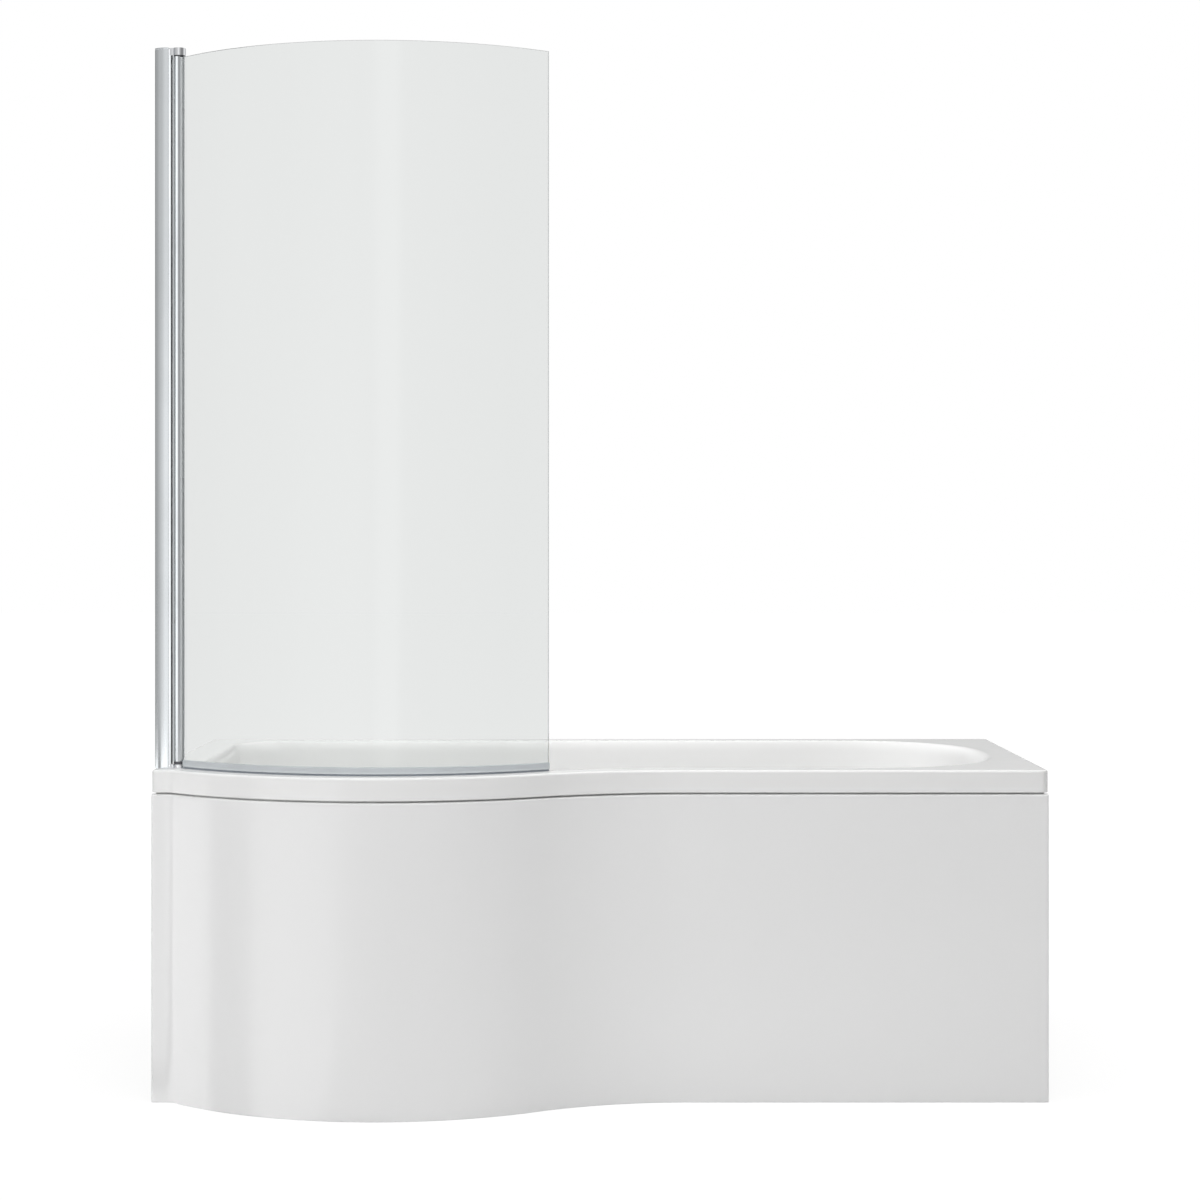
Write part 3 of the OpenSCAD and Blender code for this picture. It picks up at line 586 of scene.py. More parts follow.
    @classmethod
    def copy_of(cls, node: str) -> "Piece":
        """Start from a merged copy of a CAD node, with its flat faces made whole.

        Args:
            node: The CAD node.

        Returns:
            The new piece.
        """
        piece = cls.of_mesh(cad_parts[node].data)
        piece.edit("VERT")
        bpy.ops.mesh.remove_doubles(threshold=WELD)
        bpy.ops.mesh.dissolve_limited(angle_limit=cls.FLAT_ANGLE)
        bpy.ops.object.mode_set(mode="OBJECT")
        return piece

    def pick(self) -> None:
        """Make the piece the only selected object, and the active one."""
        bpy.ops.object.select_all(action="DESELECT")
        self.thing.select_set(True)
        bpy.context.view_layer.objects.active = self.thing

    def edit(self, kind: str) -> bmesh.types.BMesh:
        """Enter edit mode with all of the piece selected.

        Args:
            kind: VERT or EDGE, which is what is selected.

        Returns:
            The mesh.
        """
        self.pick()
        bpy.ops.object.mode_set(mode="EDIT")
        bpy.ops.mesh.select_mode(type=kind)
        bpy.ops.mesh.select_all(action="SELECT")
        return bmesh.from_edit_mesh(self.thing.data)

    def close(self) -> "Piece":
        """Merge doubles, face every normal outwards and leave edit mode.

        Returns:
            The same piece.
        """
        bpy.ops.mesh.select_all(action="SELECT")
        bpy.ops.mesh.remove_doubles(threshold=WELD)
        bpy.ops.mesh.normals_make_consistent(inside=False)
        bpy.ops.object.mode_set(mode="OBJECT")
        return self

    def settle(self, place: Matrix | None = None) -> "Piece":
        """Move the piece, if a place is given, and put its place into its mesh.

        Args:
            place: The transform to give it first.

        Returns:
            The same piece.
        """
        self.pick()
        if place is not None:
            self.thing.matrix_world = place @ self.thing.matrix_world
        bpy.ops.object.transform_apply()
        return self

    def repeated(self, spots: Sequence[Point]) -> "Piece":
        """Copies of the piece at several spots, joined.

        Args:
            spots: Where to.

        Returns:
            The new piece.
        """
        twins = [Piece.of_mesh(self.thing.data).settle(shift(spot)) for spot in spots]
        for twin in twins:
            twin.thing.select_set(True)
        bpy.context.view_layer.objects.active = twins[0].thing
        bpy.ops.object.join()
        return twins[0]

    def drop(self) -> None:
        """Delete the piece."""
        bpy.data.objects.remove(self.thing, do_unlink=True)

    def apply(self, kind: str, **settings: object) -> "Piece":
        """Add a modifier and apply it.

        Args:
            kind: The modifier's type.
            settings: Its properties.

        Returns:
            The same piece.
        """
        self.pick()
        made = self.thing.modifiers.new(kind.title(), kind)
        for name, value in settings.items():
            setattr(made, name, value)
        bpy.ops.object.modifier_apply(modifier=made.name)
        return self

    def bevel(self, width: float, segments: int = 2) -> "Piece":
        """Round every sharp edge over a width, with that many faces across it."""
        return self.apply("BEVEL", width=width * MM, segments=segments, limit_method="ANGLE",
                          angle_limit=self.SHARP_ANGLE, use_clamp_overlap=True)

    def round_edges(self, corner: Pair, width: float, segments: int = 5) -> None:
        """Round the upright edges that stand at a corner in plan.

        Args:
            corner: X and Y of the edges.
            width: The width of the rounding.
            segments: Faces across it.
        """
        self.edit("EDGE")
        bpy.ops.mesh.select_all(action="DESELECT")
        bpy.ops.object.mode_set(mode="OBJECT")
        data, place = self.thing.data, Vector(corner) * MM
        near = [(vert.co.xy - place).length < self.NEAR for vert in data.vertices]
        for edge in data.edges:
            edge.select = all(near[index] for index in edge.vertices)
        bpy.ops.object.mode_set(mode="EDIT")
        bpy.ops.mesh.bevel(offset=width * MM, segments=segments, clamp_overlap=True)
        bpy.ops.object.mode_set(mode="OBJECT")

    def combine(self, other: "Piece", operation: str = "DIFFERENCE") -> "Piece":
        """Cut the piece with another, or add the other to it, and delete the other.

        Args:
            other: The cutter.
            operation: The Boolean operation.

        Returns:
            The same piece.
        """
        self.apply("BOOLEAN", object=other.thing, operation=operation, solver="EXACT")
        other.drop()
        return self

    def finish(
        self, coat: Coat, *nodes: str, name: str = "", body: str = "bath", slot: str = "",
        smooth: float = 32.0, weighted: bool = True,
    ) -> None:
        """Shade, dress and mount the finished piece.

        Args:
            coat: Its finish.
            nodes: The CAD nodes that it replaces.
            name: Its name, where it isn't the first node's with _piece added.
            body: The CAD body that it rides on.
            slot: The record's material slot, where it isn't the finish's own. Not used.
            smooth: The angle up to which edges are shaded smooth, in degrees.
            weighted: Whether large faces keep their own normals beside a narrow bevel.
        """
        self.pick()
        bpy.ops.object.shade_smooth_by_angle(angle=math.radians(smooth))
        if weighted:
            self.apply("WEIGHTED_NORMAL", keep_sharp=True, weight=80)
        piece = self.thing
        piece.name = name or nodes[0] + "_piece"
        piece.data.materials.clear()
        piece.data.materials.append(coat.material)
        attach(piece, body)
        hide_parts(*nodes)
        log.info("%s rides on %s, %d faces", piece.name, body, len(piece.data.polygons))


def soften(coat: Coat, width: float, *nodes: str, segments: int = 2, **dress: object) -> None:
    """Replace each node by a copy with its edges rounded.

    Args:
        coat: The finish of all.
        width: The rounding's width.
        nodes: The CAD nodes.
        segments: Faces across the rounding.
        dress: Other settings of Piece.finish.
    """
    for node in nodes:
        Piece.copy_of(node).bevel(width, segments).finish(coat, node, **dress)


def dress_nodes(coat: Coat, *nodes: str) -> None:
    """Give CAD nodes that stay a new material.

    Args:
        coat: Their finish.
        nodes: The CAD nodes.
    """
    for node in nodes:
        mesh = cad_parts[node].data
        mesh.materials.clear()
        mesh.materials.append(coat.material)
        log.info("%s keeps its solid, in %s", node, coat.value.name)


# --- Shared lines ---

def shift(place: Sequence[float]) -> Matrix:
    """The move from the origin to a place in millimetres."""
    return Matrix.Translation(Vector(place) * MM)


def spread(start: float, end: float, count: int) -> list[float]:
    """Values spread evenly from start to end, without end."""
    return [start + (end - start) * i / count for i in range(count)]


def run(start: Pair, end: Pair, count: int) -> list[Pair]:
    """Points on a straight run, without its last one."""
    return list(zip(spread(start[0], end[0], count), spread(start[1], end[1], count)))


def between(p: Pair, q: Pair, share: float) -> Pair:
    """The point at a share of the way from p to q."""
    return (p[0] + (q[0] - p[0]) * share, p[1] + (q[1] - p[1]) * share)


def arc(
    cx: float, cy: float, radius: float, start: float = 0.0, end: float = 360.0, count: int = 96
) -> list[Pair]:
    """Points on an arc between two angles in degrees, without its last one."""
    angles = [math.radians(a) for a in spread(start, end, count)]
    return [(cx + radius * math.cos(a), cy + radius * math.sin(a)) for a in angles]


def quarter(steps: int) -> list[Pair]:
    """A quarter round of radius 1, from (0, 1) to (1, 0), measured from its outer corner."""
    angles = [math.radians(90.0 * i / steps) for i in range(steps + 1)]
    return [(1 - math.cos(a), 1 - math.sin(a)) for a in angles]


def curve(p: Pair, q: Pair, r: Pair, steps: int) -> list[Pair]:
    """Points on the curve from p to r with the corner q, without its last one."""
    shares = [((1 - t) ** 2, 2 * t * (1 - t), t * t) for t in spread(0.0, 1.0, steps)]
    return [(a * p[0] + b * q[0] + c * r[0], a * p[1] + b * q[1] + c * r[1]) for a, b, c in shares]


def bearing(centre: Sequence[float], point: Sequence[float]) -> float:
    """The angle in plan from a centre to a point, in degrees."""
    return math.degrees(math.atan2(point[1] - centre[1], point[0] - centre[0]))


class Station(NamedTuple):
    """A place on a line in plan, with the direction that leads in from it."""

    x: float
    y: float
    nx: float = 0.0
    ny: float = 1.0

    def at(self, inset: float, z: float) -> Point:
        """The point set in from the line by inset, at the height z."""
        return (self.x + self.nx * inset, self.y + self.ny * inset, z)


@dataclass(frozen=True)
class FrontLine:
    """The front edge in plan: a short flat, a flare, the bow, the sweep and the long flat."""

    head_x: float = -837.5
    foot_x: float = 837.5
    flat_y: float = -275.0
    bow: Point = (-408.0, 165.0, 590.0)
    sweep: Point = (162.0, -843.0, 568.0)
    flare: Point = (-813.0, -306.75, 31.75)

    @property
    def left(self) -> float:
        """The bow's angle where the flare meets it, in degrees."""
        return bearing(self.bow, self.flare)

    @property
    def right(self) -> float:
        """The bow's angle where the sweep meets it, in degrees."""
        return bearing(self.bow, self.sweep)

    def stations(self, pitch: float) -> list[Station]:
        """Stations along the whole front.

        Args:
            pitch: The distance between stations on the curves.

        Returns:
            The stations, from the head to the foot.
        """
        made = [Station(self.head_x, self.flat_y)]
        for (cx, cy, radius), start, end, way, count in (
            (self.flare, 90.0, self.left + 180.0, 1.0, 10),
            (self.bow, self.left, self.right, -1.0, 0),
            (self.sweep, self.right + 180.0, 90.0, 1.0, 0),
        ):
            count = count or round(math.radians(abs(end - start)) * radius / pitch)
            for x, y in arc(cx, cy, radius, start, end, count):
                made.append(Station(x, y, way * (x - cx) / radius, way * (y - cy) / radius))
        return made + [Station(x, self.flat_y) for x in (self.sweep[0], self.foot_x)]


# --- Bath shell ---

@dataclass(frozen=True)
class Spacing:
    """Points along each part of the shell's outline and down its wall."""

    bow: int = 72
    sweep: int = 30
    front: int = 6
    end_run: int = 20
    corner: int = 8
    foot: int = 26
    back: int = 10
    head_run: int = 8
    head: int = 6
    front_run: int = 5
    flare: int = 8
    roll: int = 9
    wall: int = 5
    cove: int = 14


@dataclass
class BathShell:
    """The moulded skin: rim, deck, basin and fibre-backed outside."""

    front: FrontLine = FrontLine()
    count: Spacing = Spacing()
    back_y: float = 425.0
    rim_z: float = 620.0
    lip_z: float = 578.2
    lip_r: float = 1.2
    edge_r: float = 4.5
    rests: Point = (1.5, 2.0, 3.0)  # from a rounding to the next ring
    # depth below the rim over which the painted shade in the basin deepens
    shade_depth: float = 20.0
    corner_r: float = 14.0
    corner_len: float = 90.0
    skin: float = 6.0
    deck: tuple[float, float, float, float] = (46.0, 42.0, 66.0, 56.0)
    lean: tuple[float, float, float, float] = (97.0, 97.0, 95.0, 390.0)
    end_len: Pair = (300.0, 190.0)
    end_power: float = 2.4
    basin_r: float = 118.0
    floor_z: float = 194.0
    fall: float = 0.008
    wall_share: float = 0.62
    lip_in: float = 14.0
    roll_len: float = 25.0
    cove_len: float = 85.0
    overlap: Pair = (2.5, 3.0)  # of the wall's section with the deck and the floor
    clear: float = 5.0
    waste: Pair = (-560.0, 50.0)
    waste_r: float = 26.0
    recess_r: float = 36.0
    recess_z: float = 191.5
    recess_edge: tuple[Pair, ...] = ((0.0, -1.2), (0.5, -0.5), (1.6, -0.05), (2.2, 12.0))
    overflow_r: float = 25.0
    overflow_z: Pair = (-20.0, 10.0)

    def rim(self, inset: float) -> list[Pair]:
        """The outer edge of the rim, set in.

        Args:
            inset: How far in.

        Returns:
            The outline, anticlockwise from the start of the bow.
        """
        f, c = self.front, self.count
        r = self.corner_r - inset
        xl, xr = f.head_x + self.corner_r, f.foot_x - self.corner_r
        yf, yb = f.flat_y + self.corner_r, self.back_y - self.corner_r
        corner_y = yf + self.corner_len
        front_y, back_y = f.flat_y + inset, self.back_y - inset
        head_x, foot_x = f.head_x + inset, f.foot_x - inset
        ex = f.foot_x - self.deck[3] - self.end_len[0]
        hx = f.head_x + self.deck[2] + self.basin_r
        head_y = self.back_y - self.deck[1] - self.basin_r
        return (
            arc(*f.bow[:2], f.bow[2] - inset, f.left, f.right, c.bow)
            + arc(*f.sweep[:2], f.sweep[2] + inset, f.right + 180, 90, c.sweep)
            + run((f.sweep[0], front_y), (ex, front_y), c.front)
            + run((ex, front_y), (xr, front_y), c.end_run)
            + arc(xr, yf, r, -90, 0, c.corner)
            + run((foot_x, yf), (foot_x, yb), c.foot)
            + arc(xr, yb, r, 0, 90, c.corner)
            + run((xr, back_y), (ex, back_y), c.end_run)
            + run((ex, back_y), (hx, back_y), c.back)
            + run((hx, back_y), (xl, back_y), c.head_run)
            + arc(xl, yb, r, 90, 180, c.corner)
            + run((head_x, yb), (head_x, head_y), c.head_run)
            + run((head_x, head_y), (head_x, corner_y), c.head)
            + run((head_x, corner_y), (head_x, yf), c.front_run)
            + arc(xl, yf, r, 180, 270, c.corner)
            + run((xl, front_y), (f.flare[0], front_y), 1)
            + arc(*f.flare[:2], f.flare[2] + inset, 90, f.left + 180, c.flare)
        )

    def end_angles(self) -> list[float]:
        """Angles round the narrow end, closer together at the rim's corners.

        Returns:
            The angles, in degrees.
        """
        c, stops = self.count, (-90, -46, -36, 36, 46, 90)
        counts = (c.end_run, c.corner, c.foot, c.corner, c.end_run)
        return [a for part in map(spread, stops, stops[1:], counts) for a in part]

    def basin(self, insets: Sequence[float], end: float) -> list[Pair]:
        """The basin's outline at one level.

        Args:
            insets: The distance in from the rim at the front, back, head and foot.
            end: The length of the rounded narrow end.

        Returns:
            The outline, point for point with the rim's.
        """
        f, c, r = self.front, self.count, self.basin_r
        at_front, at_back, at_head, at_foot = insets
        xl, yf, yb = f.head_x + at_head, f.flat_y + at_front, self.back_y - at_back
        br = f.bow[2] - at_front
        cx = xl + r
        cy = f.bow[1] - math.sqrt((br - r) ** 2 - (cx - f.bow[0]) ** 2)
        a0 = bearing(f.bow, (cx, cy))
        ex, half, power = f.foot_x - at_foot - end, (yb - yf) / 2, 2 / self.end_power
        curved = []
        for a in map(math.radians, self.end_angles()):
            rise = math.copysign(abs(math.sin(a)) ** power, a)
            curved.append((ex + end * abs(math.cos(a)) ** power, (yf + yb) / 2 + half * rise))
        return (
            arc(*f.bow[:2], br, a0, f.right, c.bow)
            + arc(*f.sweep[:2], f.sweep[2] + at_front, f.right + 180, 90, c.sweep)
            + run((f.sweep[0], yf), (ex, yf), c.front)
            + curved
            + run((ex, yb), (cx, yb), c.back)
            + arc(cx, yb - r, r, 90, 180, 2 * c.head_run + c.corner)
            + run((xl, yb - r), (xl, cy), c.head)
            + arc(cx, cy, r, 180, a0 + 360, c.front_run + c.corner + 1 + c.flare)
        )

    def section(self, start: float, top: float, foot: Pair, end: Pair) -> list[Pair]:
        """A wall's section: a roll at the deck, a slope and a cove into the floor.

        Args:
            start: The distance at which the roll starts.
            top: The height of the deck.
            foot: The cove's corner.
            end: The end of the cove.

        Returns:
            Points of distance and height, which overlap the deck and the floor a little.
        """
        c, corner = self.count, (start + self.lip_in, top)
        length = math.dist(corner, foot)
        roll_end = between(corner, foot, self.roll_len / length)
        cove_start = between(foot, corner, self.cove_len / length)
        return (
            [(start - self.overlap[0], top)]
            + curve((start, top), corner, roll_end, c.roll)
            + run(roll_end, cove_start, c.wall)
            + curve(cove_start, foot, end, c.cove)
            + [end]
        )

    def rings(self) -> tuple[list[list[Point]], list[list[float]]]:
        """Rings of the skin, and how far each point is on the backed side.

        Returns:
            The rings, from the basin floor over the rim to the underside, and their marks: up to 1
            on the backed side, and down to -1 deep in the basin, where the finish paints shade.
        """
        brim = self.basin(self.deck, self.end_len[0])
        base = self.basin([d + l for d, l in zip(self.deck, self.lean)], self.end_len[1])
        under, top, past = self.floor_z - self.skin, self.rim_z - self.skin, self.overlap[1]
        inner, outer, ways = [], [], []
        for (bx, by), (fx, fy) in zip(brim, base):
            far = math.hypot(fx - bx, fy - by)
            ways.append(((fx - bx) / far, (fy - by) / far))
            z = self.floor_z + self.fall * (fx - self.waste[0])
            corner = far * self.wall_share
            tilt = math.atan2(corner - self.lip_in, self.rim_z - z)
            thick = self.skin * (1 / math.cos(tilt) - math.tan(tilt))
            foot = self.lip_in - thick + (top - under) * math.tan(tilt)
            inner.append([
                *self.section(0.0, self.rim_z, (corner, z), (far, z)),
                (far + past, z + self.fall * past * ways[-1][0]),
            ])
            outer.append([
                *self.section(-thick, top, (foot, under), (far, under)), (far + past, under)
            ])

        def wall_ring(walls: list[list[Pair]], level: int) -> list[Point]:
            """One level of the inner or outer wall, all the way round."""
            return [
                (x + nx * wall[level][0], y + ny * wall[level][0], wall[level][1])
                for (x, y), (nx, ny), wall in zip(brim, ways, walls)
            ]

        levels = range(len(inner[0]))
        made = [wall_ring(inner, level) for level in reversed(levels)]
        # Painted shade: inner rings are marked down to -1 with depth below the rim, so the finish
        # darkens the basin.
        marks = [-min(1.0, (self.rim_z - inner[0][j][1]) / self.shade_depth)
                 for j in reversed(levels)]
        edge, lip, (rest, wait, gap) = self.edge_r, self.lip_r, self.rests
        rims = [(edge + rest, self.rim_z)]
        rims += [(edge * across, self.rim_z - edge * down) for across, down in quarter(6)[::-1]]
        rims += [(0.0, self.rim_z - edge - wait), (0.0, self.lip_z + lip + rest)]
        rims += [(lip * across, self.lip_z + lip * up) for across, up in quarter(3)]
        marks += [0.0] * len(rims)
        rims += [(self.skin - back, self.lip_z + up) for up, back in quarter(3)]
        rims += [(self.skin, top - gap), (self.skin + gap, top)]
        made += [[(x, y, z) for x, y in self.rim(inset)] for inset, z in rims]
        made += [wall_ring(outer, level) for level in levels]
        marks += [0.0, 0.5]
        marks += [1.0] * (len(made) - len(marks))
        return made, [[mark] * len(brim) for mark in marks]

    def build(self) -> None:
        """Loft the skin and cut the waste and the overflow."""
        low, edge = self.floor_z - self.skin - self.clear, self.recess_edge
        hole = Piece.lathe([
            (0.0, low), (self.waste_r, low), (self.waste_r, self.recess_z),
            (self.recess_r, self.recess_z),
            *((self.recess_r + out, self.floor_z + up) for out, up in edge),
            (0.0, self.floor_z + edge[-1][1]),
        ], 96).settle(shift((*self.waste, 0)))
        (low, high), r = self.overflow_z, self.overflow_r
        drill = Piece.lathe([(0.0, low), (r, low), (r, high), (0.0, high)], 64)
        rings, marks = self.rings()
        skin = Piece.loft(rings, marks=marks)
        skin.combine(hole).combine(drill.settle(Overflow().frame()))
        skin.finish(Coat.BATH, "bath_shell", name="bath_skin", smooth=40.0, weighted=False)


# --- Front panel ---

@dataclass
class FrontPanel:
    """The bowed panel with its rounded top, ledge, tongue and folded foot."""

    front: FrontLine = FrontLine()
    height: float = 575.0
    skin: float = 4.0
    fold: float = 20.0
    fold_r: float = 1.5
    foot_r: float = 1.5
    flap_gap: float = 6.0
    rest: float = 2.0
    on_back: tuple[int, int] = (1, 6)
    ledge: float = 14.0
    tongue: Pair = (9.5, 12.5)
    tongue_z: float = 604.0
    tongue_end: float = 7.0
    corner: float = 3.0
    pitch: float = 9.0

    def section(self, tongue_top: float) -> list[Pair]:
        """The panel's section.

        Args:
            tongue_top: The height of the tongue's top.

        Returns:
            Points of inset and height, of which the first and the last few are on the back.
        """
        h, t, low, (u0, u1) = self.height, self.skin, self.foot_r, self.tongue
        inner = t + self.fold_r
        shoulder = max(tongue_top - 1, h)
        return [
            (self.fold, 0.0), *((low * c, low * s) for c, s in quarter(4)[::-1]),
            (0.0, low + self.rest), (0.0, h - t - self.rest),
            *((t * c, h - t * s) for c, s in quarter(8)),
            (u0, h), (u0, shoulder), (u0 + 1, tongue_top), (u1 - 1, tongue_top), (u1, shoulder),
            (u1, h), (self.ledge, h), (self.ledge, h - t), (inner, h - t), (t, h - inner),
            (t, inner), (inner, t), (self.fold, t),
        ]

    def build(self) -> None:
        """Sweep the section along the front line and fold its ends back."""
        f, c, t, low, high = self.front, self.corner, self.skin, self.height, self.tongue_z
        steps = [(c * across, c * across, low) for across, _ in quarter(5)]
        steps += [(self.tongue_end, c, low), (self.tongue_end, c, high)]
        head = [(Station(f.head_x + x, f.flat_y), edge, top) for x, edge, top in steps]
        foot = [(Station(f.foot_x - x, f.flat_y), edge, top) for x, edge, top in steps[::-1]]
        middle = [(station, c, high) for station in f.stations(self.pitch)[1:-1]]
        rings = []
        for station, edge, top in head + middle + foot:
            least = c - math.sqrt(c * c - (c - edge) ** 2)
            rings.append([station.at(max(u, least), z) for u, z in self.section(top)])
        first, last = self.on_back
        marks = [1.0] * first + [0.0] * (len(rings[0]) - first - last) + [1.0] * last
        panel = Piece.loft(rings, marks=[marks] * len(rings))
        for x in (f.head_x, f.foot_x - t):
            flap_end = f.flat_y + self.fold - t / 2, self.height - self.flap_gap
            flap = Piece.block((x, f.flat_y + t / 2, t / 2), (x + t, *flap_end))
            panel.combine(flap, "UNION")
        panel.finish(
            Coat.PANEL, "front_panel", name="panel_skin", smooth=34.0, weighted=False
        )


# --- Frame under the bath: board, battens, legs, brackets ---

@dataclass
class Underframe:
    """Base board, battens, leg bars, studs, nuts, pads, brackets and clips."""

    bars: tuple[tuple[str, float, float], ...] = (
        ("foot", 285.0, -172.0), ("mid", -73.0, -172.0), ("head", -430.0, -327.0),
    )
    back_stud_y: float = 327.0
    stud_r: float = 6.0
    stud_z: Pair = (9.0, 184.0)
    pitch: float = 1.75
    thread: float = 0.95
    nut_af: float = 19.0
    nut_h: float = 8.0
    nut_edges: Point = (0.3, 1.1, 0.9)
    nut_zs: Point = (22.0, 160.0, 170.0)
    pad_r: float = 25.0
    softened: tuple[tuple[Coat, float, tuple[str, ...]], ...] = (
        (Coat.TIMBER_ALONG, 1.0, ("batten_back", "batten_front", "floor_batten")),
        (Coat.TIMBER_ACROSS, 1.0, ("batten_foot", "batten_head")),
        (Coat.CHIPBOARD, 1.0, ("base_board",)),
        (Coat.ZINC, 0.7, ("leg_bar_foot", "leg_bar_mid", "leg_bar_head", "panel_clips")),
        (Coat.ZINC, 0.6, ("wall_bracket_1", "wall_bracket_2", "wall_bracket_3")),
        (Coat.ZINC, 0.5, ("leg_screws", "bracket_screws")),
    )

    def build(self) -> None:
        """Build and dress every piece under the bath."""
        for coat, width, nodes in self.softened:
            soften(coat, width, *nodes)
        self.set_on_bars(self.stud(), (0.0,), "threaded_studs", "leg_studs", Coat.ZINC, 50.0)
        self.set_on_bars(self.nut(), self.nut_zs, "hexagon_nuts", "leg_nuts", Coat.ZINC)
        self.set_on_bars(self.pad(), (0.0,), "foot_pads", "leg_pads", Coat.PAD)

    def set_on_bars(
        self, model: Piece, levels: Sequence[float], name: str, node: str, coat: Coat,
        smooth: float = 32.0,
    ) -> None:
        """Set copies of a model at both studs of every bar, and delete the model.

        Args:
            model: What is copied.
            levels: The heights of the copies.
            name: The pieces' name, without the bar's.
            node: The name of the nodes that they replace, without the bar's.
            coat: Their finish.
            smooth: The angle up to which their edges are shaded smooth, in degrees.
        """
        for bar, x, front_y in self.bars:
            spots = [(x, y, z) for y in (front_y, self.back_stud_y) for z in levels]
            copies = model.repeated(spots)
            copies.finish(coat, f"{node}_{bar}", name=f"{name}_{bar}", smooth=smooth)
        model.drop()

    def stud(self) -> Piece:
        """Cut the thread of a stud.

        Returns:
            The stud on the Z axis.
        """
        low, high = self.stud_z
        start, root = low - 2 * self.pitch, self.stud_r - self.thread
        crest = (self.stud_r, 0, start + self.pitch / 2)
        model = Piece.line([(root, 0, start), crest, (root, 0, start + self.pitch)])
        bpy.ops.object.mode_set(mode="OBJECT")
        model.apply(
            "SCREW", angle=math.tau, screw_offset=self.pitch * MM, steps=20, render_steps=20,
            iterations=math.ceil((high - low) / self.pitch) + 3, axis="Z",
            use_merge_vertices=True, merge_threshold=WELD, use_smooth_shade=True,
        )
        bpy.ops.object.mode_set(mode="EDIT")
        for z, upper in ((low, False), (high, True)):
            bpy.ops.mesh.select_all(action="SELECT")
            bpy.ops.mesh.bisect(
                plane_co=(0, 0, z * MM), plane_no=(0, 0, 1), use_fill=True,
                clear_inner=not upper, clear_outer=upper,
            )
        return model.close()

    def nut(self) -> Piece:
        """Turn the corners off a hexagon nut and bore it.

        Returns:
            The nut on the origin.
        """
        flat, h, bore, turn = self.nut_af / 2, self.nut_h, self.stud_r, math.pi / 6
        corner, (back, down, bevel) = flat / math.cos(turn), self.nut_edges
        model = Piece.begin(
            bpy.ops.mesh.primitive_cylinder_add, (0, 0, h / 2 * MM), vertices=6,
            radius=corner * MM, depth=h * MM, rotation=(0, 0, turn),
        ).settle()
        turned = Piece.lathe([
            (0.0, -0.01), (flat - back, -0.01), (corner + 0.2, down), (corner + 0.2, h - down),
            (flat - back, h + 0.01), (0.0, h + 0.01),
        ], 48)
        drill = Piece.lathe([
            (0.0, -1.0), (bore + 1.0, -1.0), (bore + 0.02, bevel), (bore + 0.02, h - bevel),
            (bore + 1.0, h + 1.0), (0.0, h + 1.0),
        ], 32)
        return model.combine(turned, "INTERSECT").combine(drill)

    def pad(self) -> Piece:
        """Turn a foot pad with its socket.

        Returns:
            The pad on the origin.
        """
        r, s = self.pad_r, self.stud_r
        return Piece.lathe([
            (0.0, 0.0), (r - 1.0, 0.0), (r, 0.8), (r, 3.4), (r - 0.7, 4.8), (r - 3.4, 6.8),
            (s + 9.0, 8.2), (s + 6.6, 9.0), (s + 5.4, 10.4), (s + 4.4, 20.6), (s + 3.6, 21.7),
            (s + 2.8, 22.0), (s + 0.6, 22.0), (s + 0.1, 21.4), (s + 0.1, 9.1), (0.0, 9.1),
        ], 56)


# --- Waste and overflow ---

@dataclass
class Waste:
    """Flange, click plug, gaskets and the cup under the floor."""

    place: Pair = BathShell.waste
    plug_z: float = 196.8
    dome_r: float = 29.0
    dome_h: float = 5.3

    def build(self) -> None:
        """Build and dress the waste."""
        soften(Coat.CHROME, 0.35, "waste_flange")
        soften(Coat.BLACK, 0.8, "waste_body")
        z, r = self.plug_z, self.dome_r
        dome = [
            (r * math.sin(a), z + self.dome_h * math.cos(a) ** 0.9)
            for a in map(math.radians, range(0, 80, 6))
        ]
        plug = Piece.lathe([
            *dome, (r + 0.6, z + 1.7), (r + 1.0, z + 1.0), (r + 0.7, z + 0.35), (r, z), (0.0, z)
        ], 96).settle(shift((*self.place, 0)))
        plug.finish(Coat.CHROME, "waste_plug", name="click_plug", body="plug", smooth=40.0)
        dress_nodes(Coat.CHROME, "plug_stem")
        dress_nodes(Coat.RUBBER, "plug_seal", "waste_gasket", "waste_washer")


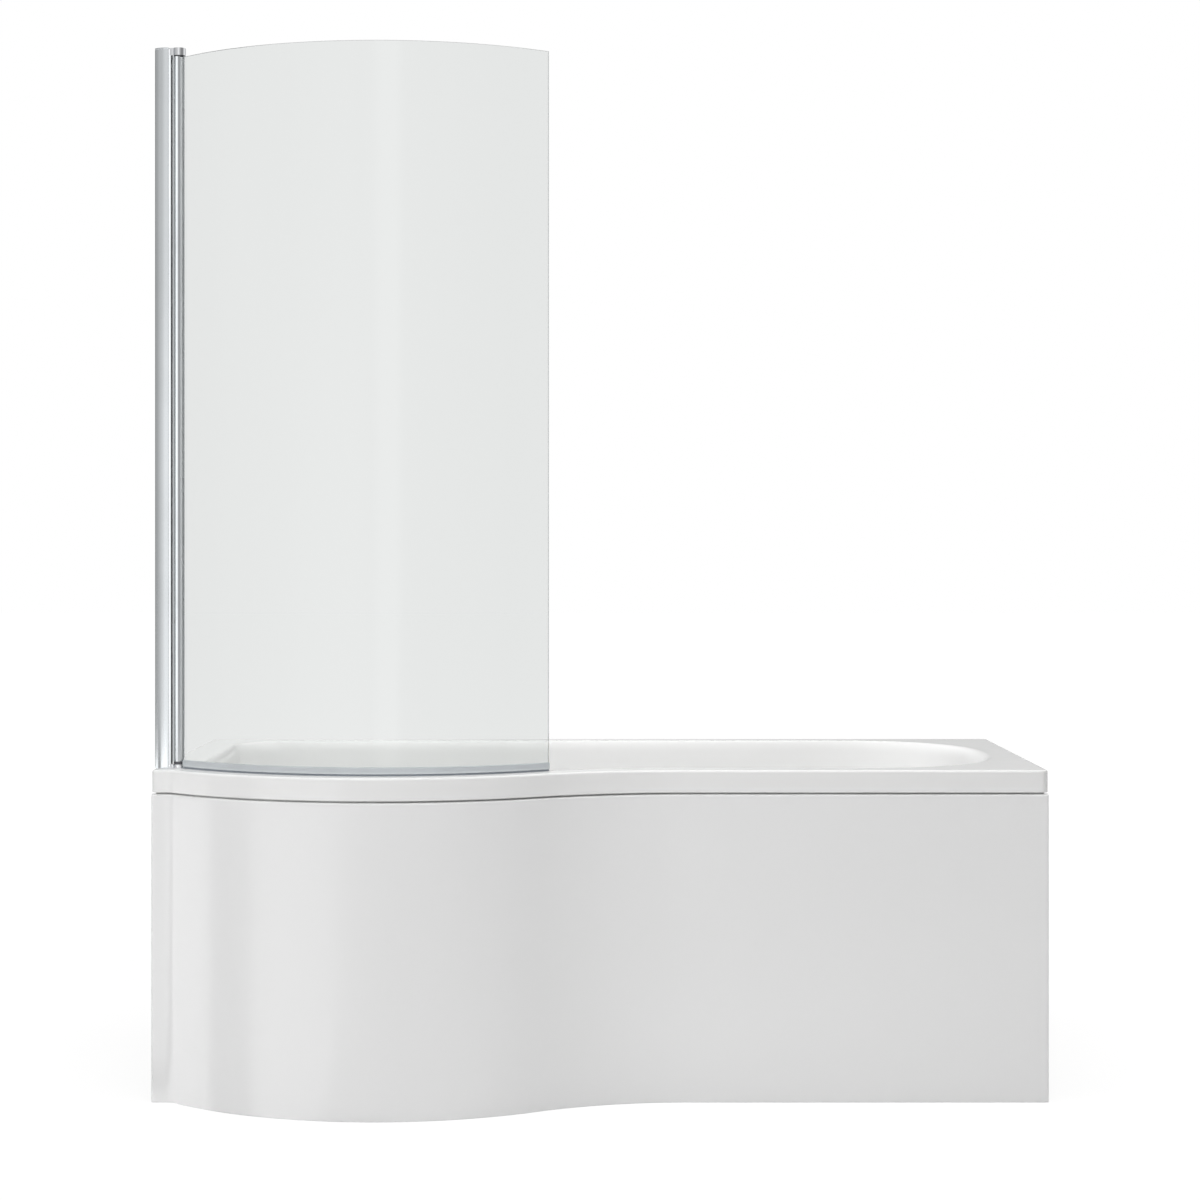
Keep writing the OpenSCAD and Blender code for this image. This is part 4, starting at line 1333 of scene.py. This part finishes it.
@dataclass
class Overflow:
    """Domed cover, the cup behind the wall, the ribbed hose and its nuts."""

    z: float = 538.0
    wall_x: float = -771.5
    wall_lip: float = 13.37
    wall_foot: float = 58.9
    wall_h: float = 426.0
    drop: float = 82.0
    yaw: float = 0.5
    hose_x: float = -782.366
    hose_top: float = 496.0
    bend: float = 112.0
    end_x: float = -612.0
    inlet_z: float = 163.0
    y: float = 50.0
    radius: float = 14.0
    bore: float = 11.6
    rib: float = 7.0
    groove: float = 1.8
    wave: tuple[Pair, ...] = (
        (0.0, 0.5), (0.14, 0.08), (0.3, 0.0), (0.46, 0.08), (0.6, 0.6), (0.72, 0.96), (0.86, 0.96)
    )
    nut_r: float = 17.0
    nut_bore: float = 10.5
    nut_h: float = 12.0
    nut_ease: Pair = (0.95, 1.2)
    grip: float = 0.9

    def frame(self) -> Matrix:
        """The overflow's own frame on the head wall.

        Returns:
            The frame, whose Z points into the basin, square to the wall.
        """
        tilt = math.atan2(self.wall_foot - self.wall_lip, self.wall_h)
        x = self.wall_x + self.wall_lip + self.drop * math.tan(tilt)
        turn = Matrix.Rotation(math.radians(self.yaw), 4, "Z")
        return shift((x, self.y, self.z)) @ turn @ Matrix.Rotation(math.pi / 2 - tilt, 4, "Y")

    def hose_ring(self, s: float, radius: float) -> list[Point]:
        """Points round the hose at a distance along it.

        Args:
            s: The distance from its top end.
            radius: The ring's radius.

        Returns:
            The points.
        """
        straight = self.hose_top - self.inlet_z - self.bend
        a = min(max((s - straight) / self.bend, 0.0), math.pi / 2)
        x = self.hose_x + self.bend * (1 - math.cos(a))
        z = self.inlet_z + self.bend * (1 - math.sin(a))
        z += max(straight - s, 0.0)
        x += max(s - straight - self.bend * math.pi / 2, 0.0)
        around = arc(0, 0, radius, count=28)
        return [(x + u * math.cos(a), self.y + v, z + u * math.sin(a)) for u, v in around]

    def build(self) -> None:
        """Build and dress the overflow."""
        soften(Coat.CHROME, 0.7, "overflow_cover", segments=3, smooth=40.0)
        soften(Coat.BLACK, 0.8, "overflow_elbow")
        self.build_hose()
        self.build_nuts()
        dress_nodes(Coat.RUBBER, "overflow_gasket", "overflow_washer")

    def build_hose(self) -> None:
        """Loft the ribbed hose, outside and bore in one closed skin."""
        total = (
            self.hose_top - self.inlet_z - self.bend + self.bend * math.pi / 2
            + self.end_x - self.hose_x - self.bend
        )
        ribs = math.floor(total / self.rib)
        rings = [
            self.hose_ring((i + share) * total / ribs, self.radius - self.groove * depth)
            for i in range(ribs) for share, depth in self.wave
        ]
        rings.append(self.hose_ring(total, self.radius - self.groove / 2))
        rings += [self.hose_ring(total * i / 32, self.bore) for i in range(32, -1, -1)]
        hose = Piece.loft(rings, closed=True)
        hose.finish(Coat.BLACK, "overflow_hose", name="ribbed_hose", smooth=60.0)

    def build_nuts(self) -> None:
        """Gripped hose nuts at both ends of the hose."""
        r, h, (small, edge) = self.nut_r, self.nut_h, self.nut_ease
        pairs = zip(arc(0, 0, r - self.grip), arc(0, 0, r))
        grip = [low if i % 4 < 2 else high for i, (low, high) in enumerate(pairs)]
        bore = arc(0, 0, self.nut_bore)
        rings = [
            [(x * share, y * share, z) for x, y in outline] for outline, share, z in (
                (grip, small, 0.0), (grip, 1.0, edge), (grip, 1.0, h - edge), (grip, small, h),
                (bore, 1.0, h), (bore, 1.0, 0.0),
            )
        ]
        low = shift((self.end_x, self.y, self.inlet_z)) @ Matrix.Rotation(math.pi / 2, 4, "Y")
        for node, place in (
            ("hose_nut_top", shift((self.hose_x, self.y, self.hose_top))), ("hose_nut_low", low)
        ):
            Piece.loft(rings, closed=True).settle(place).finish(Coat.BLACK, node)


# --- Shower screen ---

@dataclass
class Screen:
    """Curved glass on its hinge tube, with its gasket and bottom seal."""

    hinge: Pair = (-792.0, 153.0 - math.sqrt(545.0 ** 2 - 384.0 ** 2))
    centre: Pair = (-408.0, 153.0)
    radius: float = 545.0
    glass: float = 6.0
    glass_z: Pair = (628.0, 1957.0)
    ground: float = 0.9
    seat: float = 7.5
    notch: Pair = (2.0, 15.0)
    free_x: float = -96.0
    tube_r: float = 12.0
    tube_z: Pair = (633.0, 1959.0)
    tube_face: tuple[Pair, ...] = (
        (-11.3, -4.0), (-8.0, -3.4), (-7.9, -8.4), (-7.4, -8.95), (-5.3, -10.45), (-5.0, -10.7),
        (-1.2, -10.35), (-0.8, -10.2),
    )
    tube_ease: Pair = (0.965, 0.4)
    bore_r: float = 5.0
    gasket: float = 1.0
    seal_z: float = 620.5
    seal_h: float = 16.0
    lip_h: float = 3.5

    @property
    def free(self) -> float:
        """The free edge's angle on the glass, in degrees."""
        return -math.degrees(math.acos((self.free_x - self.centre[0]) / self.radius))

    def angle(self, distance: float) -> float:
        """The angle on the glass at a distance from the hinge axis, in degrees."""
        return bearing(self.centre, self.hinge) + math.degrees(distance / self.radius)

    def sweep(
        self, section: Sequence[Pair], start: float, end: float, pitch: float = 9.0,
        soft: float = 0.0,
    ) -> Piece:
        """Sweep a section round the centre of the glass.

        Args:
            section: Points of distance out from the glass's middle surface and height.
            start: The first angle, in degrees.
            end: The last angle, in degrees.
            pitch: The distance between rings.
            soft: How far the ends are drawn in to round them.

        Returns:
            The new piece.
        """
        count = max(2, round(math.radians(end - start) * self.radius / pitch))
        middle = sum(u for u, _ in section) / len(section)
        low, high = min(z for _, z in section), max(z for _, z in section)
        stops = [(a, 0.0) for a in (*spread(start, end, count), end)]
        if soft:
            turn = math.degrees(soft / self.radius)
            ends = [(turn * across, soft * draw) for across, draw in quarter(4)]
            head = [(start + a, draw) for a, draw in ends]
            stops = head + stops[1:-1] + [(end - a, draw) for a, draw in reversed(ends)]
        rings = []
        for a, draw in stops:
            ring = []
            for u, z in section:
                out = u - math.copysign(min(draw, abs(u - middle)), u - middle)
                x, y = self.on_glass(a, out)
                ring.append((x, y, min(max(z, low + draw), high - draw)))
            rings.append(ring)
        return Piece.loft(rings)

    def on_glass(self, angle: float, out: float = 0.0) -> Pair:
        """The point in plan at an angle in degrees, so far out from the middle of the glass."""
        a, r = math.radians(angle), self.radius + out
        return (self.centre[0] + r * math.cos(a), self.centre[1] + r * math.sin(a))

    def build(self) -> None:
        """Build and dress the moving screen."""
        self.build_glass()
        self.build_tube()
        dress = {"name": "glazing_gasket_piece", "body": "screen"}
        soften(Coat.GASKET, 0.3, "glass_gasket", **dress)
        self.build_seal()
        dress_nodes(Coat.BUSH, "hinge_bush_top", "hinge_bush_low")

    def build_glass(self) -> None:
        """The pane, with ground edges and a notch over the low hinge."""
        h, (z0, z1), e = self.glass / 2, self.glass_z, self.ground
        section = []
        for u, z, turn in (
            (h - e, z1 - e, 0), (-h + e, z1 - e, 90), (-h + e, z0 + e, 180), (h - e, z0 + e, 270)
        ):
            section += arc(u, z, e, turn, turn + 120, 4)
        pane = self.sweep(section, self.angle(self.seat), self.free, pitch=7.0, soft=e)
        out, low, high = h + 2, z0 - 5, self.tube_z[0] + 5
        corners = [(-out, low), (out, low), (out, high), (-out, high)]
        pane.combine(self.sweep(corners, *map(self.angle, self.notch), pitch=3.0))
        pane.finish(Coat.GLASS, "glass_pane", name="curved_glass", body="screen", smooth=8.0)
        pane.thing.visible_shadow = False

    def tube_outline(self) -> list[Pair]:
        """The hinge tube's section: a slot for the glass, a flat at the front and a thin groove.

        Returns:
            The outline about the hinge axis.
        """
        half = self.glass / 2 + self.gasket
        face = bearing(self.hinge, self.on_glass(self.angle(self.tube_r)))
        along, across = math.cos(math.radians(face)), math.sin(math.radians(face))
        slot = [
            (out * along - side * across, out * across + side * along)
            for out, side in ((8.4, -half), (6.5, -half), (6.5, half))
        ]
        gap = math.degrees(math.asin(half / self.tube_r))
        return arc(0, 0, self.tube_r, face + gap, 194.0, 44) + [*self.tube_face, *slot]

    def build_tube(self) -> None:
        """The hinge tube, a drawn profile with a groove for the glass."""
        outline, (low, high), r = self.tube_outline(), self.tube_z, self.bore_r
        small, edge = self.tube_ease
        tube = Piece.loft([
            [(x * share, y * share, z) for x, y in outline]
            for z, share in ((low, small), (low + edge, 1.0), (high - edge, 1.0), (high, small))
        ])
        profile = [(0.0, low - 5), (r, low - 5), (r, high + 5), (0.0, high + 5)]
        tube.combine(Piece.lathe(profile, 40)).settle(shift((*self.hinge, 0)))
        tube.finish(Coat.PROFILE, "hinge_tube", body="screen", smooth=24.0)

    def build_seal(self) -> None:
        """The clear clip on the glass's lower edge and the soft lip under it."""
        h, low = self.glass / 2, self.seal_z
        z0, z1 = low + self.lip_h, low + self.seal_h
        right = [
            (h + 1.0, z0), (h + 1.5, z0 + 0.5), (h + 1.5, z1 - 1.2), (h + 1.2, z1 - 0.3),
            (h + 0.7, z1), (h + 0.1, z1 - 0.6), (h, z1 - 1.5), (h, z0 + 4.0),
        ]
        left = [(-u, z) for u, z in reversed(right)]
        clip = [*left[-2:], *right, *left[:-2]]
        lip = [
            (-3.0, z0), (-2.8, z0 - 1.2), (-1.0, z0 - 2.2), (1.8, low + 0.3), (3.0, low),
            (3.9, low + 0.3), (4.0, low + 0.9), (2.6, z0 - 1.0), (2.4, z0),
        ]
        for node, section, coat, name in (
            ("seal_clip", clip, Coat.SEAL, "seal_clip_piece"),
            ("seal_lip", lip, Coat.LIP, "drip_lip_piece"),
        ):
            seal = self.sweep(section, self.angle(self.tube_r + 4), self.free)
            seal.finish(coat, node, name=name, body="screen")


@dataclass
class WallChannel:
    """The fixed channel on the end wall, its sliding profile, cap and hinge blocks."""

    hinge: Pair = Screen.hinge
    left_corner: Pair = (-837.5, -236.04)
    corner_r: float = 1.8
    saddle_half: float = 7.0
    saddle_x: float = -810.2
    saddle_z: Pair = (1961.0, 1975.0)
    # painted shade: a thin black box that stands for the shadow in the gap between the sliding
    # profile and the hinge tube
    painted_shade_strip_box: tuple[Point, Point] = ((-806.6, -242.6, 629.0), (-805.9, -236.2, 1960.0))
    parts: tuple[tuple[str, Coat, float], ...] = (
        ("wall_channel", Coat.PROFILE, 0.35), ("channel_cap", Coat.PROFILE, 0.5),
        ("adjust_profile", Coat.PROFILE, 0.3), ("hinge_block_top", Coat.CHROME, 1.0),
        ("hinge_block_low", Coat.CHROME, 0.5),
    )

    def build(self) -> None:
        """Build and dress the fixed side of the screen."""
        for node, coat, width in self.parts:
            piece = Piece.copy_of(node)
            if node == "hinge_block_top":
                (x, y), half, (low, high) = self.hinge, self.saddle_half, self.saddle_z
                corners = (self.saddle_x, y - half, low), (x, y + half, high)
                piece.combine(Piece.block(*corners), "UNION")
            if node in ("wall_channel", "channel_cap"):
                piece.round_edges(self.left_corner, self.corner_r)
            piece.bevel(width, 3).finish(coat, node, slot="polished_profile", smooth=30.0)
        soften(Coat.CHROME, 0.5, "fixing_screws")
        # painted shade: the black strip in the gap beside the hinge tube
        Piece.block(*self.painted_shade_strip_box).bevel(0.12).finish(Coat.RUBBER, name="painted_shade_strip")
        dress_nodes(Coat.GASKET, "gap_seal")


# --- Studio ---

@dataclass(frozen=True)
class Lamp:
    """One soft area lamp: its place, what it points at, its size and its power."""

    name: str
    place: Point
    aim: Point
    size: Pair
    power: float
    mirrored: bool = False

    def hang(self) -> None:
        """Hang the lamp, which only gloss may show, and only where it is mirrored."""
        data = bpy.data.lights.new(self.name, "AREA")
        data.shape, data.energy = "RECTANGLE", self.power
        data.size, data.size_y = self.size
        lamp = bpy.data.objects.new(self.name, data)
        lamp.location = self.place
        aim = Vector(self.aim) - Vector(self.place)
        lamp.rotation_euler = aim.to_track_quat("-Z", "Y").to_euler()
        lamp.visible_camera = lamp.visible_transmission = False
        lamp.visible_glossy = self.mirrored
        bpy.context.scene.collection.objects.link(lamp)


@dataclass
class Studio:
    """Camera, lamps, floor and world. Its sizes are in metres, and its bands in degrees."""

    lens: float = 70.0
    sensor: float = 36.0
    camera_place: Point = (0.0, -4.628, 1.044)
    shift_y: float = -0.0475
    ambient: float = 0.16
    behind_glass: float = 0.884
    floor_light: float = 0.012
    floor_size: float = 60.0
    floor_z: float = -0.0005
    floor_greys: Pair = (0.80, 0.12)
    floor_levels: Pair = (0.91, 0.08)
    floor_rise: Pair = (1.2, 4.5)
    floor_end: Pair = (6.2, 7.2)
    lamps: tuple[Lamp, ...] = (
        Lamp("top_lamp", (0.2, -0.4, 4.4), (0.0, 0.0, 0.5), (4.0, 3.0), 142.0),
        Lamp("left_lamp", (-4.0, -2.6, 2.0), (-0.3, 0.0, 0.5), (2.0, 3.0), 61.0),
        Lamp("front_lamp", (0.8, -4.6, 4.0), (0.0, 0.0, 0.6), (4.0, 1.6), 76.0),
        Lamp("edge_lamp", (0.8, -4.6, 4.0), (0.0, 0.0, 0.6), (4.0, 1.6), 22.0, True),
    )
    room: tuple[Pair, ...] = (
        (-180, 0.60), (-174, 0.80), (-162, 0.85), (-150, 0.40), (-128, 0.12), (-100, 0.06),
        (-97, 0.30), (-93, 0.44), (-88, 0.42), (-78, 0.43), (-64, 0.56), (-50, 0.68),
        (-38, 0.79), (-26, 0.94), (-16, 0.98), (-7, 0.86), (-3, 1.30), (3, 1.30), (6, 0.70),
        (14, 0.55), (30, 0.40), (50, 0.26), (75, 0.30), (96, 0.80), (126, 0.90), (150, 0.50),
        (172, 0.42), (180, 0.60),
    )
    ground: tuple[Pair, ...] = (
        (-180, 0.70), (-120, 0.80), (-95, 0.80), (-92, 2.30), (-75, 2.30), (-71, 0.20),
        (-57, 0.20), (-50, 1.95), (-20, 1.95), (-15, 1.00), (-13, 0.80), (24, 0.75),
        (44, 1.00), (70, 0.70), (120, 0.70), (180, 0.70),
    )
    middle: Point = (-0.471, -0.261, 0.0)
    dim: float = 0.2
    dim_left: tuple[Pair, Pair, Pair] = ((0.315, 0.380), (0.467, 0.483), (0.04, 0.16))
    white_above: Pair = (0.25, 0.70)
    dark_top: float = 0.5
    top_rise: Pair = (0.80, 0.97)

    def build(self) -> None:
        """Set up the whole studio."""
        self.add_camera()
        for lamp in self.lamps:
            lamp.hang()
        self.add_floor()
        self.set_world()
        bpy.context.scene.view_settings.view_transform = "Standard"

    def add_camera(self) -> None:
        """Stand the camera where the photograph was taken from."""
        data = bpy.data.cameras.new("photo_camera")
        data.lens, data.sensor_width, data.shift_y = self.lens, self.sensor, self.shift_y
        camera = bpy.data.objects.new("photo_camera", data)
        camera.location = self.camera_place
        camera.rotation_euler = (math.pi / 2, 0.0, 0.0)
        bpy.context.scene.collection.objects.link(camera)
        bpy.context.scene.camera = camera

    def bands(self, s: Shader, way: Signal, around: Sequence[Pair]) -> Signal:
        """How bright the room is in a direction, as gloss shows it.

        Args:
            s: The shader.
            way: The direction.
            around: Pairs of an angle from the camera's side and a brightness.

        Returns:
            The brightness, with soft upright bands near the horizon and white above.
        """
        x, y, z = (s.node("SeparateXYZ", {0: way}, output=i) for i in range(3))
        turn = x.heading(0.0 - y) * (1 / math.tau) + 0.5
        stops = [(a / 360.0 + 0.5, level) for a, level in around]
        level = s.grey(s.node("ValToRGB", {0: turn}, {"stops": stops}))
        begins, ends, rises = self.dim_left
        left = turn.rise(*begins) * (1.0 - turn.rise(*ends)) * z.rise(*rises)
        level = level * (1.0 - self.dim * left)
        level = level + (1.0 - level) * z.rise(*self.white_above)
        return level * (1.0 - self.dark_top * z.rise(*self.top_rise))

    def by_ray(self, s: Shader, plain: Signal, mirrored: Signal, seen: Signal) -> Signal:
        """Show what suits the ray.

        Args:
            s: The shader.
            plain: What lights the object.
            mirrored: What gloss shows.
            seen: What the camera finds, straight or through glass.

        Returns:
            The mixed shader.
        """
        glossy, camera, through = (
            s.node("LightPath", output=f"Is {kind} Ray")
            for kind in ("Glossy", "Camera", "Transmission")
        )
        unseen = s.node("MixShader", {0: glossy, 1: plain, 2: mirrored})
        return s.node("MixShader", {0: camera.larger(through), 1: unseen, 2: seen})

    def seen_level(self, s: Shader, behind: float) -> Signal:
        """1 for the camera, and a lower level for what is seen through glass."""
        return behind + (1.0 - behind) * s.node("LightPath", output="Is Camera Ray")

    def add_floor(self) -> None:
        """Lay a pale floor that keeps the object's shadow and meets the white background."""
        adder = bpy.ops.mesh.primitive_plane_add
        floor = Piece.begin(adder, (0, 0, self.floor_z), size=self.floor_size).settle().thing
        floor.name = "studio_floor"
        s = Shader.named(floor.name)
        way = s.vector("SUBTRACT", s.place(), self.middle)
        apart = s.vector("LENGTH", way, output="Value")
        near, more = self.floor_levels
        level = near + more * apart.rise(*self.floor_rise)
        level = level * self.seen_level(s, self.behind_glass - self.floor_light)
        plain, dim = (s.node("BsdfDiffuse", {"Color": (v, v, v)}) for v in self.floor_greys)
        shown = s.node("AddShader", {0: dim, 1: s.node("Emission", {"Strength": level})})
        far = apart.rise(*self.floor_end)
        glow = self.bands(s, way, self.ground) * (1.0 - far) + self.bands(s, way, self.room) * far
        room = s.node("Emission", {"Strength": glow})
        s.node("OutputMaterial", {"Surface": self.by_ray(s, plain, room, shown)})
        floor.data.materials.append(s.block)

    def set_world(self) -> None:
        """White behind the object, and a plain soft light all round it."""
        world = bpy.data.worlds.new("studio_world")
        bpy.context.scene.world = world
        s = Shader(world)
        room = self.bands(s, s.node("TexCoord", output="Generated"), self.room)
        sources = (
            s.node("Background", {"Strength": level, "Color": (1, 1, 1)})
            for level in (self.ambient, room, self.seen_level(s, self.behind_glass))
        )
        s.node("OutputWorld", {"Surface": self.by_ray(s, *sources)})


def main() -> None:
    """Build the studio and every sub-assembly in order."""
    for part in (Studio, BathShell, FrontPanel, Underframe, Waste, Overflow, WallChannel, Screen):
        part().build()


if __name__ == "__main__":
    main()
